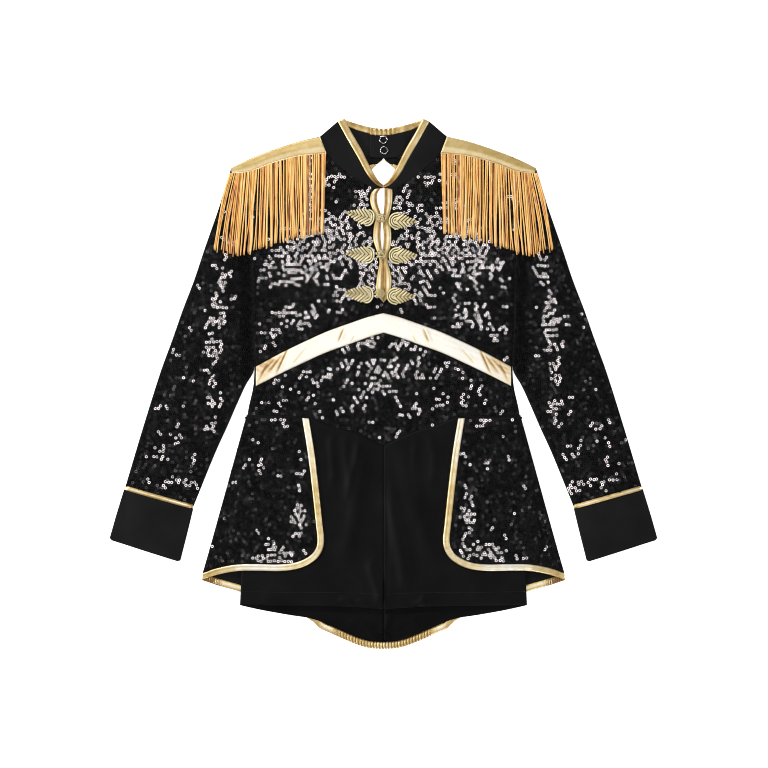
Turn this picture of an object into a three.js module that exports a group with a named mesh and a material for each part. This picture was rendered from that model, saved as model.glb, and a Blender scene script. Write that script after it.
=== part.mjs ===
// A child's marching band one-piece, laid flat with its front up: bodice, sleeves, skirt with a long
// back tail, and shorts. Millimetres, +Z up, the surface it lies on is z = 0, the neck is at +Y.
// Every panel is a closed thin wall. Tables give points in steps of the pattern grid: U across,
// V down the garment, one step is K mm; (U0, V0) is the middle of the outline's box.
import * as THREE from 'three';

const K = 1.1;            // mm per step of the pattern grid
const U0 = 383.5;         // centre front
const V0 = 383.5;         // middle of the length
const T = 1.0;            // cloth wall
const G = 0.3;            // gap at seams and between layers
const BIND = 1.6;         // thickness of folded gold binding
const BODY_FULL = 2.4;    // how far the front stands off the back at the middle

const X = (u) => (u - U0) * K;
const Y = (v) => (V0 - v) * K;
const clamp = (t) => Math.min(1, Math.max(0, t));
const smooth = (t) => { const c = clamp(t); return c * c * (3 - 2 * c); };

// ---- outlines of the left half: U, V --------------------------------------------------
const SHOULDER = [[320, 136.5], [300, 141], [275, 149], [247, 160], [231, 168]];
const ARMHOLE = [[231, 168], [238, 184], [243, 200], [247.5, 220], [250.5, 245], [252, 275], [252.8, 305], [253, 335]];
const SLEEVE_OUT = [[231, 168], [225, 187], [219, 207], [211, 230], [204, 250], [194, 280], [182.5, 310], [172, 340], [161, 370], [143, 427], [125.2, 486.6]];
const SLEEVE_IN = [[252.9, 335.4], [253.8, 352], [253.8, 364], [253.1, 371.5], [250.8, 376.4], [246.1, 384.4], [237, 404], [227, 427], [216, 451], [193.6, 505.8]];
const SIDE = [[253.6, 335.4], [254.5, 352], [254.5, 366], [253.9, 380], [252.5, 390], [250.2, 400], [248.6, 407], [247.4, 415]];
const NECK_FRONT = [[320, 136.5], [326, 153], [333, 161], [343, 169.5], [355, 178], [374.5, 189.3]];
const V_OUTER = [[337.4, 121.6], [348.5, 141.9], [357.4, 157.2], [365.7, 172.5], [370.6, 179.4], [378.9, 187.3]];
const V_INNER = [[344.6, 118.4], [351.6, 132.3], [361, 148.3], [368.6, 163.6], [373.6, 173], [383.35, 186.8]];
const BACK_NECK = [[320, 136.5], [334, 146], [350, 152.5], [366, 156.5], [383.35, 158]];
const BACK_TOP = [[344, 119.2], [354, 122.6], [364, 125.5], [374, 127.6], [385, 128.6], [397, 127.8]];
const BACK_BIND = [[346.4, 126], [355, 129.4], [364, 132.2], [374, 134.4], [385, 135.6], [397, 134.6]];
const WAIST = [[247.4, 415], [275, 415.5], [311, 417.5]];
const POINT = [[247.4, 415], [275, 415.5], [311, 417.6], [329, 425], [348.6, 430.5], [368.4, 438.5], [383.35, 446]];
const BELT_TOP = [[255.9, 366.4], [281, 353], [307, 340.5], [327, 331.5], [348.6, 323.7], [368, 317], [383.35, 313]];
const BELT_LOW = [[255.9, 386.2], [281, 373.5], [303, 363], [325, 353], [348.6, 344.5], [368, 337.5], [383.35, 332.8]];
const SHORTS_SIDE = [[247.4, 415], [245.5, 490], [242.5, 550], [240, 605]];
const HEM_FRONT = [[240, 605], [290, 605.6], [340, 606.4], [370, 608], [383.35, 609.6]];
const HEM_BACK = [[240, 605.4], [262, 610.2], [290, 615.2], [311, 618.6], [328, 624.8], [353, 635.7], [367, 640.4], [383.35, 641.6]];
const SKIRT_SIDE = [[246, 417.6], [237, 450], [227, 486], [217, 522], [207.5, 556], [202.4, 573.5]];
const SKIRT_EDGE = [[309, 418.5], [314.3, 450.6], [319, 489], [322.7, 524], [324.2, 539.4], [323, 548.5], [317.6, 557.6], [308, 564.6], [296, 569], [280, 570.8], [258, 570.6], [237.8, 571], [220, 574.3], [201.8, 580]];
const SKIRT_CORNER = 6;   // row of SKIRT_EDGE where the front edge turns into the hem
const TAIL_HEM = [[201.8, 580.4], [220, 586.4], [239.5, 592], [262, 600.4], [288, 610], [302.5, 615.8], [312.5, 621.8], [319.6, 628.4], [327, 632], [335.6, 635.8], [347.5, 641], [359.4, 645.7], [371.3, 648.6], [383.5, 649.4]];
const CUFF = { inner: [[193.2, 508.2], [189, 526], [180, 562]], outer: [[123.9, 489.2], [116, 515], [109, 539.6]] };
const KEY_EDGE = [[382.2, 160.6], [377.6, 164], [372.6, 168.4], [368, 178], [365.4, 190], [364.6, 204], [366, 218], [369.6, 231], [375, 242], [383.35, 250]];
const KEY_BIND = [[381.6, 160.2], [374.8, 162], [368, 165], [361.4, 176], [358.4, 190], [357.6, 205], [359.4, 221], [363.8, 236], [371, 249.6], [383.35, 257.4]];
// slit binding, columns: V, left outer, left inner, right inner, right outer
const SLIT = [
  [189.3, 374.5, 378.9, 383.9, 392.5], [193.5, 371, 377.4, 384.5, 392.8], [200, 369.8, 377, 384.5, 392.6],
  [206, 371, 378, 384.3, 392], [212, 373.3, 380.2, 383.7, 390.5], [218, 375, 381.4, 382.5, 389],
  [225, 374, 381, 382.9, 390.3], [232, 373.1, 380.6, 383.6, 391.3], [240, 373.2, 380.7, 383.7, 391.5],
  [248, 375.5, 381.6, 383.2, 390.5], [254.5, 378, 382, 382.6, 388.5], [262, 379.4, 382.9, 383.3, 387.8],
  [270, 378, 383.2, 383.6, 390], [280, 376.4, 383.3, 383.7, 391.8], [289, 375.8, 383.3, 383.7, 391],
  [296, 378, 383.3, 383.7, 389], [301.5, 382.4, 383.3, 383.7, 384.6],
];
// frogs, columns: knot U, knot V, left root U, V, left tip U, V, right root U, V, right tip U, V
const FROGS = [
  [381.2, 218.9, 374.6, 219.6, 346.3, 212.7, 388.4, 220.6, 416.6, 222.2],
  [381.4, 255, 374.8, 255.6, 345, 253.3, 388.4, 255.8, 417.5, 255.8],
  [380, 294, 373.6, 295.4, 343.3, 293.1, 386.6, 296, 415, 296.8],
];
const LEAF = [[0, 0.3], [0.08, 0.72], [0.2, 0.97], [0.34, 1], [0.5, 0.86], [0.66, 0.64], [0.82, 0.38], [0.93, 0.19], [1, 0.07]]; // along, half width
const LEAF_HALF = 8.6;    // half width of a leaf, grid steps
const BOARD_TOP = [[319.6, 136.9], [300, 141.2], [275, 149.2], [247, 160.2], [231, 168.2]];
const BOARD_LOW = [[326, 153.6], [300, 156], [275, 162.2], [250, 171.4], [232, 173.2]];
const FRINGE_LOW = [[325.4, 234], [309, 237.4], [292, 240.8], [276, 246], [259, 250.4], [241, 256.6], [227, 255.4], [212.4, 249.5]];
const FRINGE_TOP = [[326.2, 154.8], [313, 155.4], [300, 157.4], [287, 160.4], [272, 164.6], [255, 171], [241, 174.2], [229.4, 174.4]];

// ---- the front layer's height ------------------------------------------------------------
function along(rows, v, col = 0) { // value of a table at a height on the garment
  if (v <= rows[0][1]) return rows[0][col];
  for (let i = 1; i < rows.length; i++) {
    if (v <= rows[i][1]) {
      const t = (v - rows[i - 1][1]) / (rows[i][1] - rows[i - 1][1]);
      return rows[i - 1][col] + t * (rows[i][col] - rows[i - 1][col]);
    }
  }
  return rows[rows.length - 1][col];
}
function shoulderV(u) {
  const rows = [[344.6, 118.4], [337, 121], ...SHOULDER];
  if (u >= rows[0][0]) return rows[0][1];
  for (let i = 1; i < rows.length; i++) {
    if (u >= rows[i][0]) {
      const t = (rows[i - 1][0] - u) / (rows[i - 1][0] - rows[i][0]);
      return rows[i - 1][1] + t * (rows[i][1] - rows[i - 1][1]);
    }
  }
  return 168;
}
const dome = (a) => 1 - Math.abs(2 * clamp(a) - 1) ** 3;
function bulge(x, y) { // how far the front stands off its seams
  const u = U0 - Math.abs(x) / K, v = V0 - y / K;
  const out = along(SLEEVE_OUT, v), arm = v < 335 ? along(ARMHOLE, v) : along(SIDE, v);
  const side = v < 415 ? arm : along(SHORTS_SIDE, v);
  const whole = dome((u - out) / (2 * (U0 - out)));
  const inner = v < 335 ? arm : along(SLEEVE_IN, v);
  const onSleeve = v < 415 ? u < arm - 0.4 : u < along(SLEEVE_IN, v) + 2;
  const split = onSleeve ? 0.8 * dome((u - out) / Math.max(20, inner - out)) : dome((u - side) / (2 * (U0 - side)));
  const c = smooth((v - 190) / 130);
  const q = clamp((v - shoulderV(u)) / 46);
  return BODY_FULL * ((1 - c) * whole + c * split) * (1 - (1 - q) ** 2);
}
function front(x, y) { // underside of the front layer
  const v = V0 - y / K, u = U0 - Math.abs(x) / K;
  const lift = (T + G) * smooth((v - 360) / 50) * (v > 340 && u < along(SIDE, v) - 1 && v < 412 ? 0 : 1);
  return T + G + lift + bulge(x, y);
}
function sleeveGap(x, y) { return G + bulge(x, y); }
function skirt(x, y) { // underside of the skirt fronts, down to the tail outside the shorts
  const v = V0 - y / K, u = U0 - Math.abs(x) / K, edge = along(SHORTS_SIDE, v);
  const t = smooth((edge - 3 - u) / 26);
  const inside = front((Math.max(u, edge) - U0) * K * Math.sign(-Math.abs(x)) * -1, y) + T + G;
  return inside * (1 - t) + (T + G) * t;
}

// ---- geometry makers ---------------------------------------------------------------------
function mesh(name, verts, faces, colour, extra = {}) {
  const g = new THREE.BufferGeometry();
  g.setAttribute('position', new THREE.Float32BufferAttribute(verts.flat(), 3));
  g.setIndex(faces.flat());
  g.computeVertexNormals();
  const m = new THREE.Mesh(g, new THREE.MeshStandardMaterial({ color: colour, roughness: 0.7, side: THREE.FrontSide, ...extra }));
  m.name = name;
  return m;
}
const flip = (verts, faces) => [verts.map(([x, y, z]) => [-x, y, z]), faces.map(([a, b, c]) => [a, c, b])];
// a row of points in mm from a table in grid steps
const row = (rows) => rows.map(([u, v]) => [X(u), Y(v)]);
// n + 1 points spaced evenly along a smooth line through the rows
function spaced(rows, n) {
  if (n === rows.length - 1) return row(rows);
  const c = new THREE.CatmullRomCurve3(rows.map(([u, v]) => new THREE.Vector3(X(u), Y(v), 0)), false, 'centripetal');
  return c.getSpacedPoints(n).map((p) => [p.x, p.y]);
}
function straight(a, b, n) {
  return Array.from({ length: n + 1 }, (_, i) => [a[0] + (b[0] - a[0]) * i / n, a[1] + (b[1] - a[1]) * i / n]);
}
const mirror = (pts) => pts.map(([x, y]) => [-x, y]);
const both = (pts) => [...pts, ...mirror(pts.slice(0, -1)).reverse()]; // left half to the centre, then the right
const cut = (pts, i, j) => pts.slice(i, j + 1);
// Coons patch from four sides with matching corners
function patch(bottom, top, left, right) {
  const n = bottom.length - 1, m = left.length - 1, g = [];
  for (let i = 0; i <= n; i++) {
    g.push([]);
    for (let j = 0; j <= m; j++) {
      const s = i / n, t = j / m;
      g[i].push([0, 1].map((k) => (1 - t) * bottom[i][k] + t * top[i][k] + (1 - s) * left[j][k] + s * right[j][k]
        - (1 - s) * (1 - t) * bottom[0][k] - s * (1 - t) * bottom[n][k] - (1 - s) * t * top[0][k] - s * t * top[n][k]));
    }
  }
  return g;
}
function rim(n, m) { // grid indices round the edge
  const r = [];
  for (let i = 0; i < n; i++) r.push([i, 0]);
  for (let j = 0; j < m; j++) r.push([n, j]);
  for (let i = n; i > 0; i--) r.push([i, m]);
  for (let j = m; j > 0; j--) r.push([0, j]);
  return r;
}
function insetGrid(g, d) { // draws the outer row in by d, for the gap at a seam
  const n = g.length - 1, m = g[0].length - 1, loop = rim(n, m), p = loop.map(([i, j]) => g[i][j].slice());
  let area = 0;
  p.forEach((a, k) => { const b = p[(k + 1) % p.length]; area += a[0] * b[1] - b[0] * a[1]; });
  const w = Math.sign(area);
  loop.forEach(([i, j], k) => {
    const a = p[(k + p.length - 1) % p.length], b = p[k], c = p[(k + 1) % p.length];
    const e = [[b[0] - a[0], b[1] - a[1]], [c[0] - b[0], c[1] - b[1]]].map(([x, y]) => { const l = Math.hypot(x, y) || 1; return [-y / l * w, x / l * w]; });
    const s = [e[0][0] + e[1][0], e[0][1] + e[1][1]], l = Math.hypot(s[0], s[1]) || 1;
    const f = Math.min(1.8, 1 / Math.max(0.2, (s[0] * e[0][0] + s[1] * e[0][1]) / l));
    g[i][j] = [b[0] + s[0] / l * d * f, b[1] + s[1] / l * d * f];
  });
  return g;
}
// closed wall on a grid; under and thick are numbers or functions of x, y
function wall(g, under, thick = T, crown = 0) {
  const n = g.length - 1, m = g[0].length - 1, verts = [], faces = [];
  const zu = (x, y) => (typeof under === 'function' ? under(x, y) : under);
  const zt = (x, y) => (typeof thick === 'function' ? thick(x, y) : thick);
  const id = (i, j, k) => (i * (m + 1) + j) * 2 + k;
  for (let i = 0; i <= n; i++) for (let j = 0; j <= m; j++) {
    const [x, y] = g[i][j], u = zu(x, y);
    const edge = crown && (j === 0 || j === m) ? crown : 0;
    verts.push([x, y, u], [x, y, u + zt(x, y) - edge]);
  }
  let area = 0;
  const loop = rim(n, m);
  loop.forEach(([i, j], k) => { const [i2, j2] = loop[(k + 1) % loop.length]; const a = g[i][j], b = g[i2][j2]; area += a[0] * b[1] - b[0] * a[1]; });
  const up = area > 0;
  const quad = (a, b, c, d) => (up ? faces.push([a, b, c], [a, c, d]) : faces.push([a, c, b], [a, d, c]));
  for (let i = 0; i < n; i++) for (let j = 0; j < m; j++) {
    quad(id(i, j, 1), id(i + 1, j, 1), id(i + 1, j + 1, 1), id(i, j + 1, 1));
    quad(id(i, j, 0), id(i, j + 1, 0), id(i + 1, j + 1, 0), id(i + 1, j, 0));
  }
  loop.forEach(([i, j], k) => {
    const [i2, j2] = loop[(k + 1) % loop.length];
    quad(id(i, j, 0), id(i2, j2, 0), id(i2, j2, 1), id(i, j, 1));
  });
  return [verts, faces];
}
// a band between two lines that have the same number of points, raised along its middle
function band(a, b, under, thick = BIND, across = 2, gap = G / 2, crown = 0.4) {
  const g = a.map((p, i) => straight(p, b[i], across));
  return wall(insetGrid(g, gap), under, thick, across > 1 ? crown : 0);
}
// flattened tube open at both ends: rows of points across, gap between its two layers
function tube(outer, inner, gap, ends, across = 6, t = T) {
  const n = outer.length - 1, loops = [];
  for (let i = 0; i <= n; i++) {
    const a = outer[i], b = inner[i], w = Math.hypot(b[0] - a[0], b[1] - a[1]), d = [(b[0] - a[0]) / w, (b[1] - a[1]) / w];
    const mid = ends ? ends(i) : null;
    const at = (s, shift = 0) => {
      const q = mid ? mid(s) : [a[0] + (b[0] - a[0]) * s, a[1] + (b[1] - a[1]) * s];
      return [q[0] + d[0] * shift, q[1] + d[1] * shift];
    };
    const ring = (inset, low, high, fold) => {
      const pts = [], H = (x, y) => high + gap(x, y);
      const xy = (k) => { const s = k / across, e = k === 0 ? inset + fold : k === across ? -inset - fold : 0; return at(s, e); };
      for (let k = 0; k <= across; k++) { const [x, y] = xy(k); pts.push([x, y, low]); }
      const [ex, ey] = at(1, -inset); pts.push([ex, ey, (low + H(ex, ey)) / 2]);
      for (let k = across; k >= 0; k--) { const [x, y] = xy(k); pts.push([x, y, H(x, y)]); }
      const [sx, sy] = at(0, inset); pts.push([sx, sy, (low + H(sx, sy)) / 2]);
      return pts;
    };
    loops.push([ring(0, 0, 2 * t, 1.1), ring(t, t, t, 0.5)]);
  }
  const M = loops[0][0].length, verts = [], faces = [];
  loops.forEach((l) => l.forEach((r) => verts.push(...r)));
  const id = (i, k, r) => (i * 2 + r) * M + (k % M);
  for (let i = 0; i < n; i++) for (let k = 0; k < M; k++) {
    const q = (a, b, c, d) => faces.push([a, b, c], [a, c, d]);
    q(id(i, k, 0), id(i, k + 1, 0), id(i + 1, k + 1, 0), id(i + 1, k, 0));
    q(id(i, k, 1), id(i + 1, k, 1), id(i + 1, k + 1, 1), id(i, k + 1, 1));
  }
  for (let k = 0; k < M; k++) {
    faces.push([id(0, k, 0), id(0, k, 1), id(0, k + 1, 1)], [id(0, k, 0), id(0, k + 1, 1), id(0, k + 1, 0)]);
    faces.push([id(n, k, 0), id(n, k + 1, 0), id(n, k + 1, 1)], [id(n, k, 0), id(n, k + 1, 1), id(n, k, 1)]);
  }
  return outward([verts, faces]);
}
function outward([verts, faces]) { // turns every face if the volume comes out negative
  let vol = 0;
  for (const [a, b, c] of faces) {
    const p = verts[a], q = verts[b], r = verts[c];
    vol += p[0] * (q[1] * r[2] - q[2] * r[1]) + p[1] * (q[2] * r[0] - q[0] * r[2]) + p[2] * (q[0] * r[1] - q[1] * r[0]);
  }
  return vol < 0 ? [verts, faces.map(([a, b, c]) => [a, c, b])] : [verts, faces];
}
// round ring standing on a height, its section a small diamond
function ring(u, v, radius, wire, z0, sides = 20) {
  const verts = [], faces = [];
  for (let k = 0; k < sides; k++) {
    const a = (k / sides) * Math.PI * 2;
    [[radius, 0], [radius + wire, wire], [radius, 2 * wire], [radius - wire, wire]].forEach(([r, z]) => verts.push([X(u) + r * Math.cos(a), Y(v) + r * Math.sin(a), z0 + z]));
  }
  for (let k = 0; k < sides; k++) for (let j = 0; j < 4; j++) {
    const a = k * 4 + j, b = k * 4 + (j + 1) % 4, c = ((k + 1) % sides) * 4 + (j + 1) % 4, d = ((k + 1) % sides) * 4 + j;
    faces.push([a, d, c], [a, c, b]);
  }
  return outward([verts, faces]);
}

// ---- colours -------------------------------------------------------------------------------
const SEQUIN = 0x202022, PLAIN = 0x161617, GOLD = 0xd9b566, PALE = 0xf0dca8, BOARD = 0xcbb26a, FRINGE = 0xeeb65e, CORD = 0xb9a468, STEEL = 0xc8c8c8;

const root = new THREE.Group();
root.name = 'marching_band_uniform';
const metal = { metalness: 0.5, roughness: 0.4 };
const add = (name, solid, colour, extra) => root.add(mesh(name, solid[0], solid[1], colour, extra));
const pair = (name, solid, colour, extra) => {
  add(`${name}_left`, solid, colour, extra);
  add(`${name}_right`, flip(solid[0], solid[1]), colour, extra);
};

// ---- back bodice, flat on the surface ----------------------------------------------------
{
  const side = [...spaced(ARMHOLE, 7), ...spaced(SIDE, 5)];
  const neck = row(BACK_NECK), sh = row(SHOULDER);
  // sides: left = armhole and side seam, right = keyhole and centre seam, top = shoulder and neck
  const key = [[X(383.35), Y(158)], ...row(KEY_BIND), [X(383.35), Y(310)], [X(383.35), Y(365)], [X(383.35), Y(415)]];
  const left = side.length === key.length ? side : spaced([...ARMHOLE, ...SIDE], key.length - 1);
  const top = [...sh.slice().reverse(), ...neck.slice(1)];
  const low = straight([X(247.4), Y(415)], [X(383.35), Y(415)], top.length - 1);
  pair('back', wall(insetGrid(patch(top, low, left, key), G / 2), 0, T), SEQUIN);
  pair('keyhole_binding', band(row(KEY_BIND), row(KEY_EDGE), 0, T, 2, G / 2, 0), GOLD, metal);
}
// ---- back collar and its snaps; the halves lap at the centre ------------------------------
const lap = (x) => (x > -16 ? (T + G) * smooth((X(412) - x) / (X(412) - X(403))) : 0);
{
  const top = row(BACK_BIND), low = spaced([[337, 122.4], [321.4, 137.4]], 1);
  const seam = spaced([[321.4, 137.4], [334, 145.6], [350, 152], [366, 156], [383.5, 157.6], [397, 157]], 8);
  const upper = [...spaced([[337.4, 122.4], [346.4, 126]], 1).slice(0, 1), ...spaced(BACK_BIND.map((r) => [r[0], r[1]]), 7)];
  const g = patch(upper, seam, straight(upper[0], seam[0], 3), straight(upper[8], seam[8], 3));
  const gl = insetGrid(g, G / 2);
  add('collar_back_left', wall(gl, 0, T), PLAIN);
  add('collar_back_right', wall(gl.map((c) => c.map(([x, y]) => [-x, y])), (x) => lap(x), T), PLAIN);
  const bl = band(spaced(BACK_TOP, 7), spaced(BACK_BIND, 7), 0, T, 2, G / 2, 0);
  const br = band(mirror(spaced(BACK_TOP, 7)), mirror(spaced(BACK_BIND, 7)), (x) => lap(x), T, 2, G / 2, 0);
  add('neck_binding_back_left', bl, GOLD, metal);
  add('neck_binding_back_right', br, GOLD, metal);
  add('snap_top', ring(383.4, 139.6, 4.05, 0.55, 2 * T + 2 * G), STEEL, { metalness: 0.9, roughness: 0.3 });
  add('snap_bottom', ring(384, 150.3, 4.05, 0.55, 2 * T + 2 * G), STEEL, { metalness: 0.9, roughness: 0.3 });
}
// ---- front collar and the binding of the V -------------------------------------------------
{
  const seam = row(NECK_FRONT), edge = row(V_OUTER);
  pair('collar_front', wall(insetGrid(patch(seam, edge, straight(seam[0], edge[0], 3), straight(seam[5], edge[5], 3)), G / 2), front, T), PLAIN);
  pair('neck_binding_front', band(edge, row(V_INNER), front, BIND), GOLD, metal);
}
// ---- upper front, slit binding, belt and lower front ---------------------------------------
const slitL = SLIT.map(([v, a, b]) => [[X(a), Y(v)], [X(b), Y(v)]]);
const slitR = SLIT.map(([v, , , a, b]) => [[X(b), Y(v)], [X(a), Y(v)]]);
function upperFront(edge) { // left half; edge = outer line of the slit binding, from the neck down
  const c = [...edge, [X(383.35), Y(306)], [X(383.35), Y(313)]];
  const n = c.length - 1;
  const a = [...ARMHOLE, [253.6, 336], [254.8, 352], [255.9, 366.4]];
  const left = new THREE.CatmullRomCurve3(a.map(([u, v]) => new THREE.Vector3(X(u), Y(v), 0)), false, 'centripetal').getSpacedPoints(n).map((p) => [p.x, p.y]);
  const top = [...row(SHOULDER).reverse(), ...row(NECK_FRONT).slice(1)];
  top[top.length - 1] = c[0];
  const low = spaced(BELT_TOP, top.length - 1);
  low[0] = left[n]; low[low.length - 1] = c[n];
  return { left, low, g: insetGrid(patch(top, low, left, c), G / 2) };
}
{
  add('front_left', wall(upperFront(slitL.map((p) => p[0])).g, front, T), SEQUIN);
  const r = upperFront(slitR.map((p) => [-p[0][0], p[0][1]])).g;
  add('front_right', wall(r.map((c) => c.map(([x, y]) => [-x, y])), front, T), SEQUIN);
  add('placket_left', band(slitL.map((p) => p[0]), slitL.map((p) => p[1]), front, BIND), GOLD, metal);
  add('placket_right', band(slitR.map((p) => p[0]), slitR.map((p) => p[1]), front, BIND), GOLD, metal);
  const topB = both(spaced(BELT_TOP, 9)), lowB = both(spaced(BELT_LOW, 9));
  add('belt', band(topB, lowB, front, T, 2, G / 2, 0), PALE, metal);
  const waist = both(spaced(POINT, 9));
  const side = spaced([[255.9, 386.2], [253.3, 392], [250.6, 400], [248.8, 407], [247.4, 415]], 4);
  add('front_lower', wall(insetGrid(patch(lowB, waist, side, mirror(side)), G / 2), front, T), SEQUIN);
}
// ---- frogs: leaf, knot, leaf -----------------------------------------------------------------
FROGS.forEach(([ku, kv, lru, lrv, ltu, ltv, rru, rrv, rtu, rtv], f) => {
  [[lru, lrv, ltu, ltv, 'left'], [rru, rrv, rtu, rtv, 'right']].forEach(([au, av, bu, bv, side]) => {
    const a = [X(au), Y(av)], b = [X(bu), Y(bv)], l = Math.hypot(b[0] - a[0], b[1] - a[1]), d = [(b[0] - a[0]) / l, (b[1] - a[1]) / l];
    const g = LEAF.map(([s, w]) => [-1, -0.5, 0, 0.5, 1].map((k) => [a[0] + d[0] * l * s - d[1] * w * k * LEAF_HALF * K, a[1] + d[1] * l * s + d[0] * w * k * LEAF_HALF * K]));
    add(`frog${f + 1}_leaf_${side}`, wall(g, (x, y) => front(x, y) + BIND + G, 1.4, 0.5), CORD, metal);
  });
  const g = new THREE.CylinderGeometry(3.6, 5.2, 2.2, 16, 1);
  g.rotateX(Math.PI / 2);
  g.scale(1.12, 1, 1);
  const z = front(X(ku), Y(kv)) + BIND + G + 1.4 + G;
  g.translate(X(ku), Y(kv), z + 1.1);
  const knot = new THREE.Mesh(g, new THREE.MeshStandardMaterial({ color: CORD, ...metal }));
  knot.name = `frog${f + 1}_knot`;
  root.add(knot);
});
// ---- epaulettes and fringes --------------------------------------------------------------------
const over = (x, y) => front(x, y) + T + G;
pair('epaulette', band(spaced(BOARD_TOP, 8), spaced(BOARD_LOW, 8), over, BIND, 2, 0, 0.3), BOARD, metal);
{
  const top = row(FRINGE_TOP), low = row(FRINGE_LOW);
  pair('fringe', wall(insetGrid(patch(top, low, straight(top[0], low[0], 8), straight(top[7], low[7], 8)), G / 2), over, 2.0, 0.4), FRINGE);
}
// ---- sleeves, piping and cuffs -------------------------------------------------------------------
{
  const arm = row(ARMHOLE), n = 12;
  const out = spaced(SLEEVE_OUT, n), inn = spaced(SLEEVE_IN, n), last = [out[n], inn[n]];
  inn[0] = arm[7];
  const g = patch(out, inn, spaced(ARMHOLE, 7), straight(last[0], last[1], 7));
  const shrink = (i, q) => { // the gap at the armhole and at the piping
    const o = g[Math.min(i + 1, n)], k = i === 0 ? 1 : i === n ? -1 : 0;
    if (!k) return q;
    const nx = g[i === 0 ? 1 : n - 1], a = g[i][3], b = nx[3], l = Math.hypot(b[0] - a[0], b[1] - a[1]);
    return [q[0] + (b[0] - a[0]) / l * (i === 0 ? 0.45 : 0.15), q[1] + (b[1] - a[1]) / l * (i === 0 ? 0.45 : 0.15)];
  };
  const section = (i) => (s) => { const f = s * 7, j = Math.min(6, Math.floor(f)), t = f - j; const a = g[i][j], b = g[i][j + 1]; return shrink(i, [a[0] + (b[0] - a[0]) * t, a[1] + (b[1] - a[1]) * t]); };
  pair('sleeve', tube(out, inn, sleeveGap, section, 7), SEQUIN);
  const d = [last[0][0] - X(123.9), last[0][1] - Y(489.2)];
  const pOut = [last[0], [X(123.9), Y(489.2)]], pIn = [last[1], [X(193.2), Y(508.2)]];
  const pull = (a, b, e) => [a[0] + (b[0] - a[0]) * e, a[1] + (b[1] - a[1]) * e];
  const po = [pull(pOut[0], pOut[1], 0.06), pull(pOut[0], pOut[1], 0.94)], pi = [pull(pIn[0], pIn[1], 0.06), pull(pIn[0], pIn[1], 0.94)];
  pair('cuff_piping', tube(po, pi, sleeveGap, null, 7, 1.2), GOLD, metal);
  const co = spaced(CUFF.outer, 3), ci = spaced(CUFF.inner, 3);
  co[0] = pull(co[0], co[3], 0.003); ci[0] = pull(ci[0], ci[3], 0.003);
  pair('cuff', tube(co, ci, sleeveGap, null, 7), PLAIN);
}
// ---- shorts ---------------------------------------------------------------------------------------
{
  const sideB = spaced(SHORTS_SIDE, 8), hemB = spaced(HEM_BACK, 8);
  const waistB = straight(sideB[0], [X(383.35), Y(415)], 8), midB = straight(waistB[8], hemB[8], 8);
  hemB[0] = sideB[8];
  pair('shorts_back', wall(insetGrid(patch(waistB, hemB, sideB, midB), G / 2), T + G, T), PLAIN);
  const point = spaced(POINT, 9), sideF = spaced([[247.4, 415.0], ...SHORTS_SIDE.slice(1)], 9), hemF = spaced(HEM_FRONT, 9);
  sideF[0] = point[0]; hemF[0] = sideF[9];
  pair('shorts_front', wall(insetGrid(patch(point, hemF, sideF, straight(point[9], hemF[9], 9)), G / 2), front, T), PLAIN);
}
// ---- skirt fronts and the tail ----------------------------------------------------------------------
{
  const WIDTH = 6.8 * K;
  const edge = row(SKIRT_EDGE);
  const inner = edge.map((p, i) => { // the binding's inner line, square to its free edge
    const a = edge[Math.max(0, i - 1)], b = edge[Math.min(edge.length - 1, i + 1)], l = Math.hypot(b[0] - a[0], b[1] - a[1]);
    return [p[0] + (b[1] - a[1]) / l * WIDTH, p[1] - (b[0] - a[0]) / l * WIDTH];
  });
  const N = edge.length - 1, C = SKIRT_CORNER;
  inner[0] = [X(302.2), Y(418.2)];
  inner[N] = [X(202.8), Y(573)];
  pair('skirt_binding', band(edge, inner, skirt, BIND, 2), GOLD, metal);
  const front1 = cut(inner, 0, C), hem = cut(inner, C, N).reverse();
  const side = spaced(SKIRT_SIDE, C), top = spaced(WAIST.map(([u, v]) => [Math.min(u, 302.2) - (u < 250 ? 3 : 0), v + 1.6]), N - C);
  side[0] = top[0]; side[C] = inner[N]; top[N - C] = inner[0];
  pair('skirt', wall(insetGrid(patch(top, hem, side, front1), G / 2), skirt, T), SEQUIN);
  const t = row(TAIL_HEM), M = t.length - 1;
  const tin = t.map((p, i) => {
    const a = t[Math.max(0, i - 1)], b = i === M ? [-t[M - 1][0], t[M - 1][1]] : t[i + 1], l = Math.hypot(b[0] - a[0], b[1] - a[1]);
    return [p[0] - (b[1] - a[1]) / l * WIDTH, p[1] + (b[0] - a[0]) / l * WIDTH];
  });
  tin[0] = [X(203.2), Y(573.4)];
  tin[M][0] = 0; t[M][0] = 0;
  add('tail_binding', band(both(t), both(tin), 0, T, 2, G / 2, 0), GOLD, metal);
  const w = both(straight([X(246.4), Y(415)], [0, Y(415)], M)), s = spaced(SKIRT_SIDE, 8);
  s[0] = w[0]; s[8] = tin[0];
  add('tail', wall(insetGrid(patch(w, both(tin), s, mirror(s)), G / 2), 0, T), SEQUIN);
}

export default root;
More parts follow.
